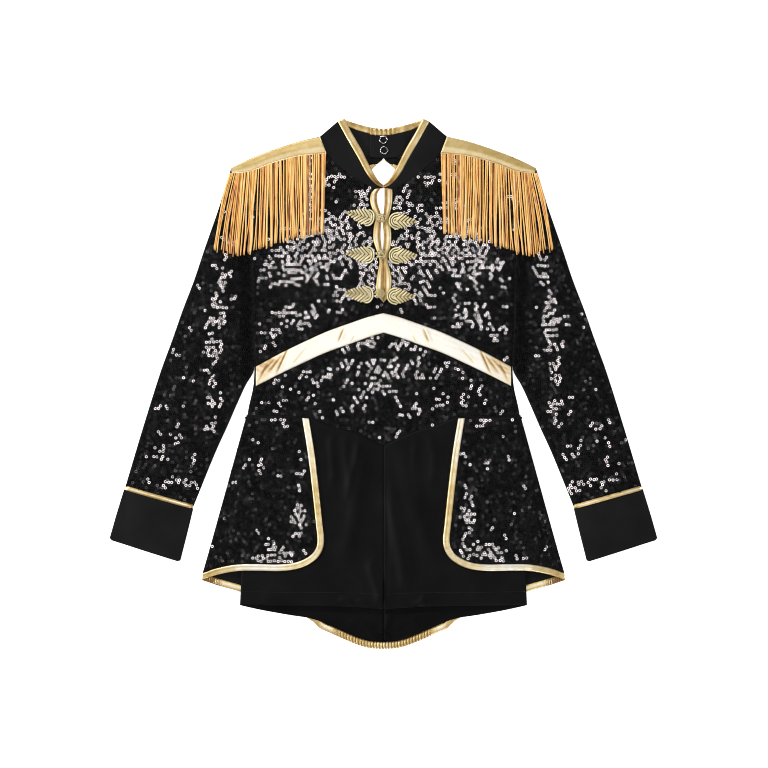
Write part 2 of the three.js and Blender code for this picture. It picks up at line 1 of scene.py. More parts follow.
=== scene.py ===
import math
import bpy
import numpy as np
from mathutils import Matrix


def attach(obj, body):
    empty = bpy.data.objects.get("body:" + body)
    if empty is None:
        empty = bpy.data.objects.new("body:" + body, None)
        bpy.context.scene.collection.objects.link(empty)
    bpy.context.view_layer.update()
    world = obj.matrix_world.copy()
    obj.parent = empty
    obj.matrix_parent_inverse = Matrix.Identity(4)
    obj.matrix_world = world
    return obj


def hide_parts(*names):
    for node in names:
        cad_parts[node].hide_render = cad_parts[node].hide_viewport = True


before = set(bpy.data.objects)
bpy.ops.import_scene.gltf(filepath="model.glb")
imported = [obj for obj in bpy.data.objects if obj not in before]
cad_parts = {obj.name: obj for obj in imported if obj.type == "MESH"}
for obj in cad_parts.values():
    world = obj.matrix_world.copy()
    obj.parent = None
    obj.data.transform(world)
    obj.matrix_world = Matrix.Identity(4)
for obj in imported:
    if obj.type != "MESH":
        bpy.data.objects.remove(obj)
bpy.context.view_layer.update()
RNG = np.random.default_rng(7)

# ------------------------------------------------------------------ pattern grid, as in the CAD part
K, U0, V0 = 1.1, 383.5, 383.5
T, G, BIND, BODY_FULL = 1.0, 0.3, 1.6, 2.4
BASE = 0.55            # room under the back for its sequins
TOPC = 0.75            # thickness of the cloth that is drawn


def X(u):
    return (np.asarray(u, float) - U0) * K


def Y(v):
    return (V0 - np.asarray(v, float)) * K


def smooth(t):
    c = np.clip(t, 0, 1)
    return c * c * (3 - 2 * c)


def tab(rows):
    return np.array(rows, float)


SHOULDER = tab([[320, 136.5], [300, 141], [275, 149], [247, 160], [231, 168]])
ARMHOLE = tab([[231, 168], [238, 184], [243, 200], [247.5, 220], [250.5, 245], [252, 275], [252.8, 305], [253, 335]])
SLEEVE_OUT = tab([[231, 168], [225, 187], [219, 207], [211, 230], [204, 250], [194, 280], [182.5, 310], [172, 340], [161, 370], [143, 427], [125.2, 486.6]])
SLEEVE_IN = tab([[253.25, 335.4], [254.1, 352], [254.15, 364], [253.5, 371.5], [251.1, 376.4], [246.1, 384.4], [237, 404], [227, 427], [216, 451], [193.6, 505.8]])
SIDE = tab([[253.6, 335.4], [254.3, 352], [254.4, 366], [253.8, 380], [252.5, 390], [250.2, 400], [248.6, 407], [247.4, 415]])
NECK_FRONT = tab([[320, 136.5], [326, 153], [333, 161], [343, 169.5], [355, 178], [374.5, 189.3]])
V_OUTER = tab([[337.4, 121.6], [348.5, 141.9], [357.4, 157.2], [365.7, 172.5], [370.6, 179.4], [376.4, 185.0], [383.45, 188.2]])
V_INNER = tab([[344.6, 118.4], [351.6, 132.3], [361, 148.3], [368.6, 163.6], [373.2, 172.4], [378.4, 180.6], [383.45, 185.1]])
BACK_NECK = tab([[320, 136.5], [334, 146], [350, 152.5], [366, 156.5], [383.35, 158]])
BACK_TOP = tab([[344, 119.2], [354, 122.6], [364, 125.5], [374, 127.6], [385, 128.6], [397, 127.8]])
BACK_BIND = tab([[346.4, 126], [355, 129.4], [364, 132.2], [374, 134.4], [385, 135.6], [397, 134.6]])
WAIST = tab([[247.4, 415], [275, 415.5], [311, 417.5]])
POINT = tab([[247.4, 415], [275, 415.5], [311, 417.6], [329, 425], [348.6, 430.5], [368.4, 438.5], [383.35, 446]])
BELT_TOP = tab([[255.9, 366.4], [281, 353], [307, 340.5], [327, 331.5], [348.6, 323.7], [368, 317], [383.5, 313]])
BELT_LOW = tab([[255.9, 386.2], [281, 373.5], [303, 363], [325, 353], [348.6, 344.5], [368, 337.5], [383.5, 332.8]])
SHORTS_SIDE = tab([[247.4, 415], [245.5, 490], [242.5, 550], [240, 605]])
HEM_FRONT = tab([[240, 605], [290, 605.6], [340, 606.4], [370, 608], [383.35, 609.6]])
HEM_BACK = tab([[240, 605.4], [262, 610.2], [290, 615.2], [311, 618.6], [328, 624.8], [353, 635.7], [367, 640.4], [383.35, 641.6]])
SKIRT_SIDE = tab([[246, 417.6], [237, 450], [227, 486], [217, 522], [207.5, 556], [202.4, 573.5]])
SKIRT_EDGE = tab([[309, 418.5], [314.3, 450.6], [319, 489], [322.7, 524], [324.2, 539.4], [323, 548.5], [317.6, 557.6], [308, 564.6], [296, 569], [280, 570.8], [258, 570.6], [237.8, 571], [220, 574.3], [201.8, 580]])
SKIRT_CORNER = 6
TAIL_HEM = tab([[201.8, 580.4], [220, 586.4], [239.5, 592], [262, 600.4], [288, 610], [302.5, 615.8], [312.5, 621.8], [319.6, 628.4], [327, 632], [335.6, 635.8], [347.5, 641], [359.4, 645.7], [371.3, 648.6], [383.5, 649.4]])
CUFF_IN = tab([[193.2, 508.2], [189, 526], [180, 562]])
CUFF_OUT = tab([[123.9, 489.2], [116, 515], [109, 539.6]])
KEY_EDGE = tab([[382.2, 160.6], [377.6, 164], [372.6, 168.4], [368, 178], [365.4, 190], [364.6, 204], [366, 218], [369.6, 231], [375, 242], [383.35, 250]])
KEY_BIND = tab([[381.8, 160.2], [377.6, 163.2], [374.9, 165.1], [373.2, 163.2], [367.4, 166.2], [361.4, 176], [358.4, 190], [357.6, 205], [359.4, 221], [363.8, 236], [371, 249.6], [383.35, 257.4]])
SLIT = tab([
    [189.3, 374.5, 378.9, 383.9, 392.5], [193.5, 371, 377.4, 384.5, 392.8], [200, 369.8, 377, 384.5, 392.6],
    [206, 371, 378, 384.3, 392], [212, 373.3, 380.2, 383.7, 390.5], [218, 375, 381.4, 382.5, 389],
    [225, 374, 381, 382.9, 390.3], [232, 373.1, 380.6, 383.6, 391.3], [240, 373.2, 380.7, 383.7, 391.5],
    [248, 375.5, 381.6, 383.2, 390.5], [254.5, 378, 382, 382.6, 388.5], [262, 379.4, 382.9, 383.3, 387.8],
    [270, 378, 383.2, 383.6, 390], [280, 376.4, 383.3, 383.7, 391.8], [289, 375.8, 383.3, 383.7, 391],
    [296, 378, 383.3, 383.7, 389], [301.5, 382.4, 383.3, 383.7, 384.6],
])
# knot U, V, left root U, V, left tip U, V, right root U, V, right tip U, V
FROGS = tab([
    [381.2, 218.9, 374.6, 219.6, 346.3, 212.7, 388.4, 220.6, 416.6, 222.2],
    [381.4, 255, 374.8, 255.6, 345, 253.3, 388.4, 255.8, 417.5, 255.8],
    [380, 294, 373.6, 295.4, 343.3, 293.1, 386.6, 296, 415, 296.8],
])
LEAF = tab([[0, 0.3], [0.08, 0.72], [0.2, 0.97], [0.34, 1], [0.5, 0.86], [0.66, 0.64], [0.82, 0.38], [0.93, 0.19], [1, 0.07]])
LEAF_HALF = 8.6
BOARD_TOP = tab([[319.6, 136.9], [300, 141.2], [275, 149.2], [247, 160.2], [231, 168.2]])
BOARD_LOW = tab([[326, 153.6], [300, 156], [275, 162.2], [250, 171.4], [232, 173.2]])
FRINGE_LOW = tab([[325.4, 234], [309, 237.4], [292, 240.8], [276, 246], [259, 250.4], [241, 256.6], [227, 255.4], [212.4, 249.5]])
FRINGE_TOP = tab([[326.2, 154.8], [313, 155.4], [300, 157.4], [287, 160.4], [272, 164.6], [255, 171], [241, 174.2], [229.4, 174.4]])

# creases listed: U0, V0, U1, V1, half width in grid steps, height in mm; mirrored unless one sided
FRONT_FOLDS = tab([
    [258, 322, 300, 292, 8, 0.7], [258, 296, 282, 262, 7, 0.55], [276, 330, 330, 318, 7, 0.5],
    [262, 398, 296, 404, 4, 0.7], [268, 388, 300, 376, 5, 0.5], [320, 372, 352, 402, 7, 0.6],
    [238, 214, 226, 300, 8, 0.6], [222, 296, 192, 338, 8, 0.8], [206, 332, 176, 380, 7, 0.7],
    [232, 344, 214, 402, 6, 0.9], [178, 394, 160, 456, 8, 0.7], [206, 414, 186, 470, 6, 0.8],
    [172, 470, 166, 500, 5, 0.5], [152, 462, 140, 486, 5, 0.5], [176, 512, 170, 548, 6, 0.5], [140, 500, 130, 538, 6, 0.45],
])
SHORTS_FOLDS = tab([ # one sided
    [366, 446, 341, 566, 9, 1.3], [334, 434, 331, 486, 4, 0.7], [347, 436, 346, 500, 4, 0.55], [356, 440, 352, 490, 3.5, 0.6],
    [391, 488, 405, 596, 7, 1.5], [402, 452, 432, 560, 9, 1.1], [414, 440, 420, 500, 4, 0.6], [430, 436, 434, 484, 4, 0.6],
    [372, 560, 379, 606, 5, 1.2], [341, 597, 350, 606, 3, 0.7], [424, 596, 415, 606, 3, 0.8], [360, 598, 364, 607, 3, 0.5],
    [300, 590, 262, 600, 8, 0.4], [470, 590, 506, 600, 8, 0.4],
])
SHORTS_TROUGHS = tab([ # one sided, sunk by the height
    [385.6, 448, 385.6, 607, 2.6, 0.9], [378, 520, 383, 600, 3.5, 0.5], [414, 520, 424, 590, 5, 0.5], [354, 470, 334, 590, 5, 0.4],
])
CROTCH_FOLDS = tab([ # one sided
    [386, 600, 386, 634, 3.2, 1.6], [376, 636, 350, 620, 4, 1.0], [372, 630, 330, 612, 4, 0.9], [396, 636, 420, 622, 4, 1.1], [392, 628, 440, 612, 4, 0.8],
])
SKIRT_FOLDS = tab([
    [262, 424, 232, 564, 6, 1.1], [277, 424, 259, 560, 6, 1.0], [291, 426, 287, 560, 6, 1.2], [303, 440, 308, 540, 5, 0.7],
    [254, 432, 220, 566, 5, 0.8], [268, 424, 262, 470, 3, 0.6], [284, 424, 281, 462, 3, 0.6],
])
BACK_FOLDS = tab([
    [258, 322, 300, 292, 8, 0.8], [276, 200, 300, 300, 9, 0.7], [330, 300, 336, 400, 9, 0.8], [300, 330, 270, 400, 8, 0.7],
    [360, 200, 352, 280, 8, 0.6], [350, 430, 330, 560, 9, 0.9], [300, 430, 284, 560, 9, 0.8], [376, 440, 370, 600, 7, 0.7],
])


def folds(u, v, rows, mirrored=True):
    """Sum of soft ridges: each fades off square to its line and towards its ends."""
    h = np.zeros(np.broadcast(u, v).shape)
    if mirrored:
        u = U0 - np.abs(u - U0)
    for a, b, c, d, w, z in rows:
        dx, dy = c - a, d - b
        ll = dx * dx + dy * dy
        s = ((u - a) * dx + (v - b) * dy) / ll
        t = np.clip(s, 0, 1)
        bend = 2.0 * np.sin(t * math.pi * 1.4 + a)         # no fold runs quite straight
        n = math.sqrt(ll)
        off = ((u - a) * -dy + (v - b) * dx) / n - bend
        along_ = np.clip(np.minimum(s, 1 - s) * 3.2 + 0.35, 0, 1)
        h += z * np.exp(-(off / w) ** 2) * smooth(along_) * (s > -0.3) * (s < 1.3)
    return h


def along(rows, v):
    return np.interp(v, rows[:, 1], rows[:, 0])


def dome(a):
    return 1 - np.abs(2 * np.clip(a, 0, 1) - 1) ** 3


SHOULDER_LINE = np.vstack([[[344.6, 118.4], [337, 121]], SHOULDER])[::-1]


def bulge(x, y):
    u, v = U0 - np.abs(x) / K, V0 - y / K
    out = along(SLEEVE_OUT, v)
    arm = np.where(v < 335, along(ARMHOLE, v), along(SIDE, v))
    side = np.where(v < 415, arm, along(SHORTS_SIDE, v))
    whole = dome((u - out) / (2 * (U0 - out)))
    inner = np.where(v < 335, arm, along(SLEEVE_IN, v))
    on_sleeve = np.where(v < 415, u < arm - 0.4, u < along(SLEEVE_IN, v) + 2)
    split = np.where(on_sleeve, 0.8 * dome((u - out) / np.maximum(20, inner - out)), dome((u - side) / (2 * (U0 - side))))
    c = smooth((v - 190) / 130)
    q = np.clip((v - np.interp(u, SHOULDER_LINE[:, 0], SHOULDER_LINE[:, 1])) / 46, 0, 1)
    return BODY_FULL * ((1 - c) * whole + c * split) * (1 - (1 - q) ** 2)


def front_cad(x, y):
    u, v = U0 - np.abs(x) / K, V0 - y / K
    lift = (T + G) * smooth((v - 360) / 50) * np.where((v > 340) & (u < along(SIDE, v) - 1) & (v < 412), 0, 1)
    return T + G + lift + bulge(x, y)


def uv(x, y):
    return x / K + U0, V0 - y / K


def front_crease(x, y):
    u, v = uv(x, y)
    b = bulge(x, y)
    room = smooth(b / 0.9)
    up = 1.5 * folds(u, v, FRONT_FOLDS) * (v < 416)
    below = smooth((v - 426) / 14)
    up = up + 2.9 * folds(u, v, SHORTS_FOLDS, False) * below
    down = folds(u, v, SHORTS_TROUGHS, False) * below
    return room * up - np.minimum(down, 0.45 * b)


def front(x, y):
    return front_cad(x, y) + front_crease(x, y)


def sleeve_gap(x, y):
    return G + bulge(x, y) + front_crease(x, y)


def back_rise(x, y):
    """The back is drawn off the surface a little at its creases, as far as the front leaves room."""
    u, v = uv(x, y)
    return np.minimum(folds(u, v, BACK_FOLDS) * smooth(bulge(x, y) / 1.2), 0.42 * bulge(x, y))


def skirt(x, y):
    u, v = U0 - np.abs(x) / K, V0 - y / K
    edge = along(SHORTS_SIDE, v)
    t = smooth((edge - 3 - u) / 26)
    xi = (np.maximum(u, edge) - U0) * K
    inside = front_cad(xi, y) + T + G
    flare = inside * (1 - t) + (T + G) * t
    lift = smooth((v - 417) / 16)
    return flare + 1.35 * folds(uv(x, y)[0], v, SKIRT_FOLDS) * lift * smooth((u - along(SKIRT_SIDE, v)) / 10) + 0.3 * lift


# ------------------------------------------------------------------ lines and grids
def crom(rows, n):
    """n + 1 points evenly spaced along a smooth line through the rows, in mm."""
    p = np.column_stack([X(rows[:, 0]), Y(rows[:, 1])])
    if len(p) == 2:
        t = np.linspace(0, 1, n + 1)[:, None]
        return p[0] * (1 - t) + p[1] * t
    q = np.vstack([2 * p[0] - p[1], p, 2 * p[-1] - p[-2]])
    k = np.concatenate([[0], np.cumsum(np.sqrt(np.linalg.norm(np.diff(q, axis=0), axis=1)))])
    out = []
    for i in range(1, len(q) - 2):
        t = np.linspace(k[i], k[i + 1], 24, endpoint=i == len(q) - 3)[:, None]
        p0, p1, p2, p3 = q[i - 1], q[i], q[i + 1], q[i + 2]
        t0, t1, t2, t3 = k[i - 1], k[i], k[i + 1], k[i + 2]
        a1 = (t1 - t) / (t1 - t0) * p0 + (t - t0) / (t1 - t0) * p1
        a2 = (t2 - t) / (t2 - t1) * p1 + (t - t1) / (t2 - t1) * p2
        a3 = (t3 - t) / (t3 - t2) * p2 + (t - t2) / (t3 - t2) * p3
        b1 = (t2 - t) / (t2 - t0) * a1 + (t - t0) / (t2 - t0) * a2
        b2 = (t3 - t) / (t3 - t1) * a2 + (t - t1) / (t3 - t1) * a3
        out.append((t2 - t) / (t2 - t1) * b1 + (t - t1) / (t2 - t1) * b2)
    return even(np.vstack(out), n)


def even(p, n):
    d = np.concatenate([[0], np.cumsum(np.linalg.norm(np.diff(p, axis=0), axis=1))])
    s = np.linspace(0, d[-1], n + 1)
    return np.column_stack([np.interp(s, d, p[:, 0]), np.interp(s, d, p[:, 1])])


def joined(*parts):
    """Lines that follow on from one another, as one."""
    return np.vstack([parts[0]] + [p[1:] for p in parts[1:]])


def mirror(p):
    return p * np.array([-1, 1])


def both(p):
    return np.vstack([p, mirror(p[:-1])[::-1]])


def line(a, b, n):
    t = np.linspace(0, 1, n + 1)[:, None]
    return np.asarray(a) * (1 - t) + np.asarray(b) * t


def patch(low, top, left, right):
    n, m = len(low) - 1, len(left) - 1
    s = np.linspace(0, 1, n + 1)[:, None, None]
    t = np.linspace(0, 1, m + 1)[None, :, None]
    return ((1 - t) * low[:, None] + t * top[:, None] + (1 - s) * left[None] + s * right[None]
            - (1 - s) * (1 - t) * low[0] - s * (1 - t) * low[-1] - (1 - s) * t * top[0] - s * t * top[-1])


def loop_of(g):
    return np.vstack([g[:-1, 0], g[-1, :-1], g[:0:-1, -1], g[0, :0:-1]])


def loop_index(n, m):
    r = [(i, 0) for i in range(n)] + [(n, j) for j in range(m)]
    r += [(i, m) for i in range(n, 0, -1)] + [(0, j) for j in range(m, 0, -1)]
    return np.array(r)


def area_of(p):
    q = np.roll(p, -1, axis=0)
    return 0.5 * float(np.sum(p[:, 0] * q[:, 1] - q[:, 0] * p[:, 1]))


def inset(g, d):
    g = g.copy()
    idx = loop_index(g.shape[0] - 1, g.shape[1] - 1)
    p = g[idx[:, 0], idx[:, 1]]
    w = 1 if area_of(p) > 0 else -1
    e = np.roll(p, -1, axis=0) - p
    e /= np.maximum(np.linalg.norm(e, axis=1), 1e-9)[:, None]
    nrm = np.column_stack([-e[:, 1], e[:, 0]]) * w
    s = nrm + np.roll(nrm, 1, axis=0)
    s /= np.maximum(np.linalg.norm(s, axis=1), 1e-6)[:, None]
    f = np.minimum(1.5, 1 / np.maximum(0.4, np.sum(s * nrm, axis=1)))
    g[idx[:, 0], idx[:, 1]] = p + s * d * f[:, None]
    return g


def inside(poly, x, y):
    c = np.zeros(x.shape, bool)
    a, b = poly, np.roll(poly, -1, axis=0)
    for (x1, y1), (x2, y2) in zip(a, b):
        if y1 == y2:
            continue
        c ^= ((y1 > y) != (y2 > y)) & (x < (x2 - x1) * (y - y1) / (y2 - y1) + x1)
    return c


def edge_distance(poly, x, y):
    d = np.full(x.shape, 1e9)
    for a, b in zip(poly, np.roll(poly, -1, axis=0)):
        v = b - a
        t = np.clip(((x - a[0]) * v[0] + (y - a[1]) * v[1]) / max(1e-9, v @ v), 0, 1)
        d = np.minimum(d, np.hypot(x - a[0] - t * v[0], y - a[1] - t * v[1]))
    return d


def noise2(x, y, step, seed):
    """Smooth random field from 0 to 1 with features of that size in mm."""
    r = np.random.default_rng(seed).random((64, 64))
    gx, gy = x / step + 31.3, y / step + 31.7
    i, j = np.floor(gx).astype(int), np.floor(gy).astype(int)
    fx, fy = smooth(gx - i), smooth(gy - j)
    i, j, i2, j2 = i % 64, j % 64, (i + 1) % 64, (j + 1) % 64
    return (r[i, j] * (1 - fx) + r[i2, j] * fx) * (1 - fy) + (r[i, j2] * (1 - fx) + r[i2, j2] * fx) * fy


# ------------------------------------------------------------------ materials
def material(name):
    m = bpy.data.materials.new(name)
    m.use_nodes = True
    return m, m.node_tree, m.node_tree.nodes["Principled BSDF"]


def node(nt, kind, **values):
    n = nt.nodes.new(kind)
    for k, v in values.items():
        if k in n.inputs:
            n.inputs[k].default_value = v
        else:
            setattr(n, k, v)
    return n


def ramp(nt, fac, stops):
    r = nt.nodes.new("ShaderNodeValToRGB")
    while len(r.color_ramp.elements) < len(stops):
        r.color_ramp.elements.new(0.5)
    for e, (p, c) in zip(r.color_ramp.elements, stops):
        e.position, e.color = p, (*c, 1)
    nt.links.new(fac, r.inputs["Fac"])
    return r


def coords(nt, scale=(1, 1, 1)):
    tc = nt.nodes.new("ShaderNodeTexCoord")
    mp = nt.nodes.new("ShaderNodeMapping")
    mp.inputs["Scale"].default_value = scale
    nt.links.new(tc.outputs["Object"], mp.inputs["Vector"])
    return mp.outputs["Vector"]


def bump(nt, bsdf, height, strength, distance):
    b = node(nt, "ShaderNodeBump", Strength=strength, Distance=distance)
    nt.links.new(height, b.inputs["Height"])
    nt.links.new(b.outputs["Normal"], bsdf.inputs["Normal"])
    return b


def toned(nt, noise, share, stops):
    """A colour ramp over the piece's tone, stirred by noise."""
    at = node(nt, "ShaderNodeAttribute", attribute_name="tone")
    a = node(nt, "ShaderNodeMath", operation="MULTIPLY_ADD")
    nt.links.new(noise, a.inputs[0])
    a.inputs[1].default_value = share
    nt.links.new(at.outputs["Fac"], a.inputs[2])
    b = node(nt, "ShaderNodeMath", operation="SUBTRACT")
    nt.links.new(a.outputs[0], b.inputs[0])
    b.inputs[1].default_value = share * 0.5
    return ramp(nt, b.outputs[0], stops)


def mat_plain(name="plain_black_jersey", low=0.0056, high=0.0104, rough=0.7, spec=0.09):
    m, nt, b = material(name)
    c = coords(nt)
    weave = node(nt, "ShaderNodeTexNoise", Scale=1500.0, Detail=2.0)
    nt.links.new(c, weave.inputs["Vector"])
    cloud = node(nt, "ShaderNodeTexNoise", Scale=26.0, Detail=3.0)
    nt.links.new(c, cloud.inputs["Vector"])
    r = ramp(nt, cloud.outputs["Fac"], [(0.3, (low, low, low * 1.03)), (0.75, (high, high, high * 1.03))])
    nt.links.new(r.outputs["Color"], b.inputs["Base Color"])
    b.inputs["Roughness"].default_value = rough
    b.inputs["Specular IOR Level"].default_value = spec
    bump(nt, b, weave.outputs["Fac"], 0.35, 0.0002)
    return m


def mat_knit():
    m, nt, b = material("sequin_knit_ground")
    c = coords(nt)
    n = node(nt, "ShaderNodeTexNoise", Scale=900.0, Detail=2.0)
    nt.links.new(c, n.inputs["Vector"])
    r = ramp(nt, n.outputs["Fac"], [(0.35, (0.003, 0.003, 0.0033)), (0.7, (0.009, 0.009, 0.0098))])
    nt.links.new(r.outputs["Color"], b.inputs["Base Color"])
    b.inputs["Roughness"].default_value = 0.8
    b.inputs["Specular IOR Level"].default_value = 0.1
    bump(nt, b, n.outputs["Fac"], 0.5, 0.0004)
    return m


def mat_sequin():
    m, nt, b = material("black_sequin")
    c = coords(nt)
    n = node(nt, "ShaderNodeTexNoise", Scale=210.0, Detail=1.0)
    nt.links.new(c, n.inputs["Vector"])
    r = toned(nt, n.outputs["Fac"], 0.25, [(0.0, (0.014, 0.014, 0.0145)), (0.4, (0.15, 0.147, 0.148)), (1.0, (0.36, 0.336, 0.34))])
    nt.links.new(r.outputs["Color"], b.inputs["Base Color"])
    b.inputs["Metallic"].default_value = 1.0
    b.inputs["Roughness"].default_value = 0.15
    return m


def mat_gold(name, stops, share, metallic, rough, crinkle, scale, spec=0.5):
    m, nt, b = material(name)
    c = coords(nt)
    n = node(nt, "ShaderNodeTexNoise", Scale=scale, Detail=4.0, Roughness=0.55)
    nt.links.new(c, n.inputs["Vector"])
    r = toned(nt, n.outputs["Fac"], share, stops)
    nt.links.new(r.outputs["Color"], b.inputs["Base Color"])
    b.inputs["Metallic"].default_value = metallic
    b.inputs["Roughness"].default_value = rough
    b.inputs["Specular IOR Level"].default_value = spec
    bump(nt, b, n.outputs["Fac"], crinkle, 0.0012)
    return m


def mat_board():
    m, nt, b = material("epaulette_lame")
    c = coords(nt)
    wv = node(nt, "ShaderNodeTexWave", Scale=260.0, Distortion=1.2)
    wv.bands_direction = "Y"
    nt.links.new(c, wv.inputs["Vector"])
    n = node(nt, "ShaderNodeTexNoise", Scale=60.0, Detail=3.0)
    nt.links.new(c, n.inputs["Vector"])
    r = toned(nt, n.outputs["Fac"], 0.25, [(0.0, (0.2, 0.13, 0.04)), (0.35, (0.54, 0.38, 0.13)), (0.6, (0.72, 0.55, 0.25)), (1.0, (0.95, 0.85, 0.6))])
    nt.links.new(r.outputs["Color"], b.inputs["Base Color"])
    b.inputs["Metallic"].default_value = 0.35
    b.inputs["Roughness"].default_value = 0.5
    bump(nt, b, wv.outputs["Fac"], 0.18, 0.0003)
    return m


def mat_fringe():
    m, nt, b = material("rayon_fringe")
    c = coords(nt, (1, 0.04, 1))
    n = node(nt, "ShaderNodeTexNoise", Scale=420.0, Detail=2.0)
    nt.links.new(c, n.inputs["Vector"])
    r = toned(nt, n.outputs["Fac"], 0.7, [(0.0, (0.24, 0.07, 0.03)), (0.28, (0.62, 0.25, 0.09)), (0.5, (0.86, 0.46, 0.11)), (0.75, (0.96, 0.6, 0.2)), (1.0, (1.0, 0.8, 0.42))])
    nt.links.new(r.outputs["Color"], b.inputs["Base Color"])
    b.inputs["Roughness"].default_value = 0.42
    b.inputs["Specular IOR Level"].default_value = 0.5
    return m


def mat_cord():
    m, nt, b = material("antique_gold_cord")
    c = coords(nt)
    w = node(nt, "ShaderNodeTexNoise", Scale=650.0, Detail=2.0)
    nt.links.new(c, w.inputs["Vector"])
    r = toned(nt, w.outputs["Fac"], 0.3, [(0.0, (0.1, 0.06, 0.02)), (0.35, (0.34, 0.25, 0.09)), (0.6, (0.66, 0.55, 0.28)), (0.8, (0.86, 0.77, 0.48)), (1.0, (0.97, 0.9, 0.66))])
    nt.links.new(r.outputs["Color"], b.inputs["Base Color"])
    b.inputs["Metallic"].default_value = 0.3
    b.inputs["Roughness"].default_value = 0.42
    bump(nt, b, w.outputs["Fac"], 0.5, 0.0004)
    return m


def mat_simple(name, colour, metallic, rough):
    m, nt, b = material(name)
    b.inputs["Base Color"].default_value = (*colour, 1)
    b.inputs["Metallic"].default_value = metallic
    b.inputs["Roughness"].default_value = rough
    return m


PLAIN, KNIT, SEQ = mat_plain(), mat_knit(), mat_sequin()
# a darker copy of the plain black jersey: painted shade on the inside of the shorts' back, seen below the front hem
SHADED_INSIDE = mat_plain("plain_black_inside_painted_shade", 0.0008, 0.0032, 0.66, 0.08)
GOLD = mat_gold("gold_foil_binding", [(0.0, (0.16, 0.07, 0.02)), (0.3, (0.5, 0.32, 0.1)), (0.55, (0.78, 0.58, 0.26)), (0.8, (0.96, 0.84, 0.56)), (1.0, (1.0, 0.97, 0.88))], 0.3, 0.55, 0.4, 0.22, 180.0)
BELT = mat_gold("pale_gold_belt", [(0.0, (0.3, 0.16, 0.05)), (0.3, (0.66, 0.44, 0.2)), (0.55, (0.88, 0.72, 0.46)), (0.8, (0.99, 0.93, 0.8)), (1.0, (1.0, 0.99, 0.95))], 0.3, 0.35, 0.45, 0.2, 90.0)
BOARD, FRINGE, CORD = mat_board(), mat_fringe(), mat_cord()
# a dark brown sheet under each frog's cords: painted shade for the grooves between the cords
CORD_GROOVE_SHADE = mat_simple("frog_groove_shade", (0.07, 0.045, 0.014), 0.0, 0.7)
TONED = {m.name for m in (SEQ, GOLD, BELT, BOARD, FRINGE, CORD)}      # materials that read a point's tone
STEEL = mat_simple("snap_steel", (0.72, 0.72, 0.74), 1.0, 0.22)
SHORTS = mat_plain("plain_black_shorts", 0.001, 0.0038, 0.62, 0.11)
THREAD = mat_simple("black_thread", (0.006, 0.006, 0.006), 0.0, 0.8)


# ------------------------------------------------------------------ making pieces
def make(name, verts, faces, mat, nodes=(), flat_faces=None, tone=None):
    """tone says how dark (0) or bright (1) the piece's colour is at each point, painted light and shade included; 0.5
    is its middle.
    """
    me = bpy.data.meshes.new(name)
    verts = np.asarray(verts, float) / 1000
    faces = np.asarray(faces, np.int64)
    k = faces.shape[1]
    me.vertices.add(len(verts))
    me.vertices.foreach_set("co", verts.ravel())
    me.loops.add(faces.size)
    me.loops.foreach_set("vertex_index", faces.ravel())
    me.polygons.add(len(faces))
    me.polygons.foreach_set("loop_start", np.arange(0, faces.size, k))
    me.polygons.foreach_set("use_smooth", np.ones(len(faces), bool) if flat_faces is None else np.asarray(~flat_faces, bool))
    me.update(calc_edges=True)
    me.validate()
    me.materials.append(mat)
    if mat.name in TONED or tone is not None:
        if tone is None:
            tone = np.full(len(me.vertices), 0.5)
        at = me.attributes.new("tone", "FLOAT", "POINT")
        at.data.foreach_set("value", np.clip(np.asarray(tone, np.float32).ravel(), 0, 1))
    ob = bpy.data.objects.new(name, me)
    bpy.context.scene.collection.objects.link(ob)
    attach(ob, "root")
    if nodes:
        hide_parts(*nodes)
    return ob


def wall(g, low, top):
    """Closed wall over a grid: low and top are height arrays. Returns vertices and faces wound outwards."""
    n, m = g.shape[0] - 1, g.shape[1] - 1
    a = np.dstack([g, low]).reshape(-1, 3)
    b = np.dstack([g, top]).reshape(-1, 3)
    N = len(a)
    i, j = np.meshgrid(np.arange(n), np.arange(m), indexing="ij")
    q = (i * (m + 1) + j).ravel()
    quads = np.column_stack([q, q + m + 1, q + m + 2, q + 1])
    up = area_of(loop_of(g)) > 0
    topf = quads + N if up else quads[:, ::-1] + N
    lowf = quads[:, ::-1] if up else quads
    li = loop_index(n, m)
    e = li[:, 0] * (m + 1) + li[:, 1]
    e2 = np.roll(e, -1)
    rim = np.column_stack([e, e2, e2 + N, e + N])
    if not up:
        rim = rim[:, ::-1]
    return np.vstack([a, b]), np.vstack([topf, lowf, rim])


SHEETS = {}


def panel(name, g, under, thick, mat, slot, nodes=None, gap=0.004, top_extra=None):
    """One cut of cloth over its grid, drawn in from its seams."""
    area = abs(area_of(loop_of(g)))
    g = inset(g, gap)
    x, y = g[..., 0], g[..., 1]
    low = under(x, y) if callable(under) else np.full(x.shape, float(under))
    top = low + (thick(x, y) if callable(thick) else thick)
    if top_extra is not None:
        top = top + top_extra
    v, f = wall(g, low, top)
    rim = np.zeros(len(f), bool)
    rim[-2 * (g.shape[0] + g.shape[1] - 2):] = mat in (KNIT, SHORTS)       # a cut knit edge isn't shaded round
    ob = make("v_" + name, v, f, mat, nodes or [name], flat_faces=rim)
    lo, hi = g.reshape(-1, 2).min(0), g.reshape(-1, 2).max(0)
    SHEETS[name] = (ob, hi - lo, area, g)
    return ob


def ridge_profile(m, kind="round"):
    t = np.linspace(0, 1, m + 1)
    if kind == "round":
        return np.sqrt(np.clip(1 - (2 * t - 1) ** 2, 0, 1)) ** 0.8
    # folded binding: a stitched groove between two soft rolls
    base = np.clip(1 - np.abs(2 * t - 1) ** 6, 0, 1) ** 0.5
    return base * (0.88 - 0.1 * np.cos(4 * math.pi * t))


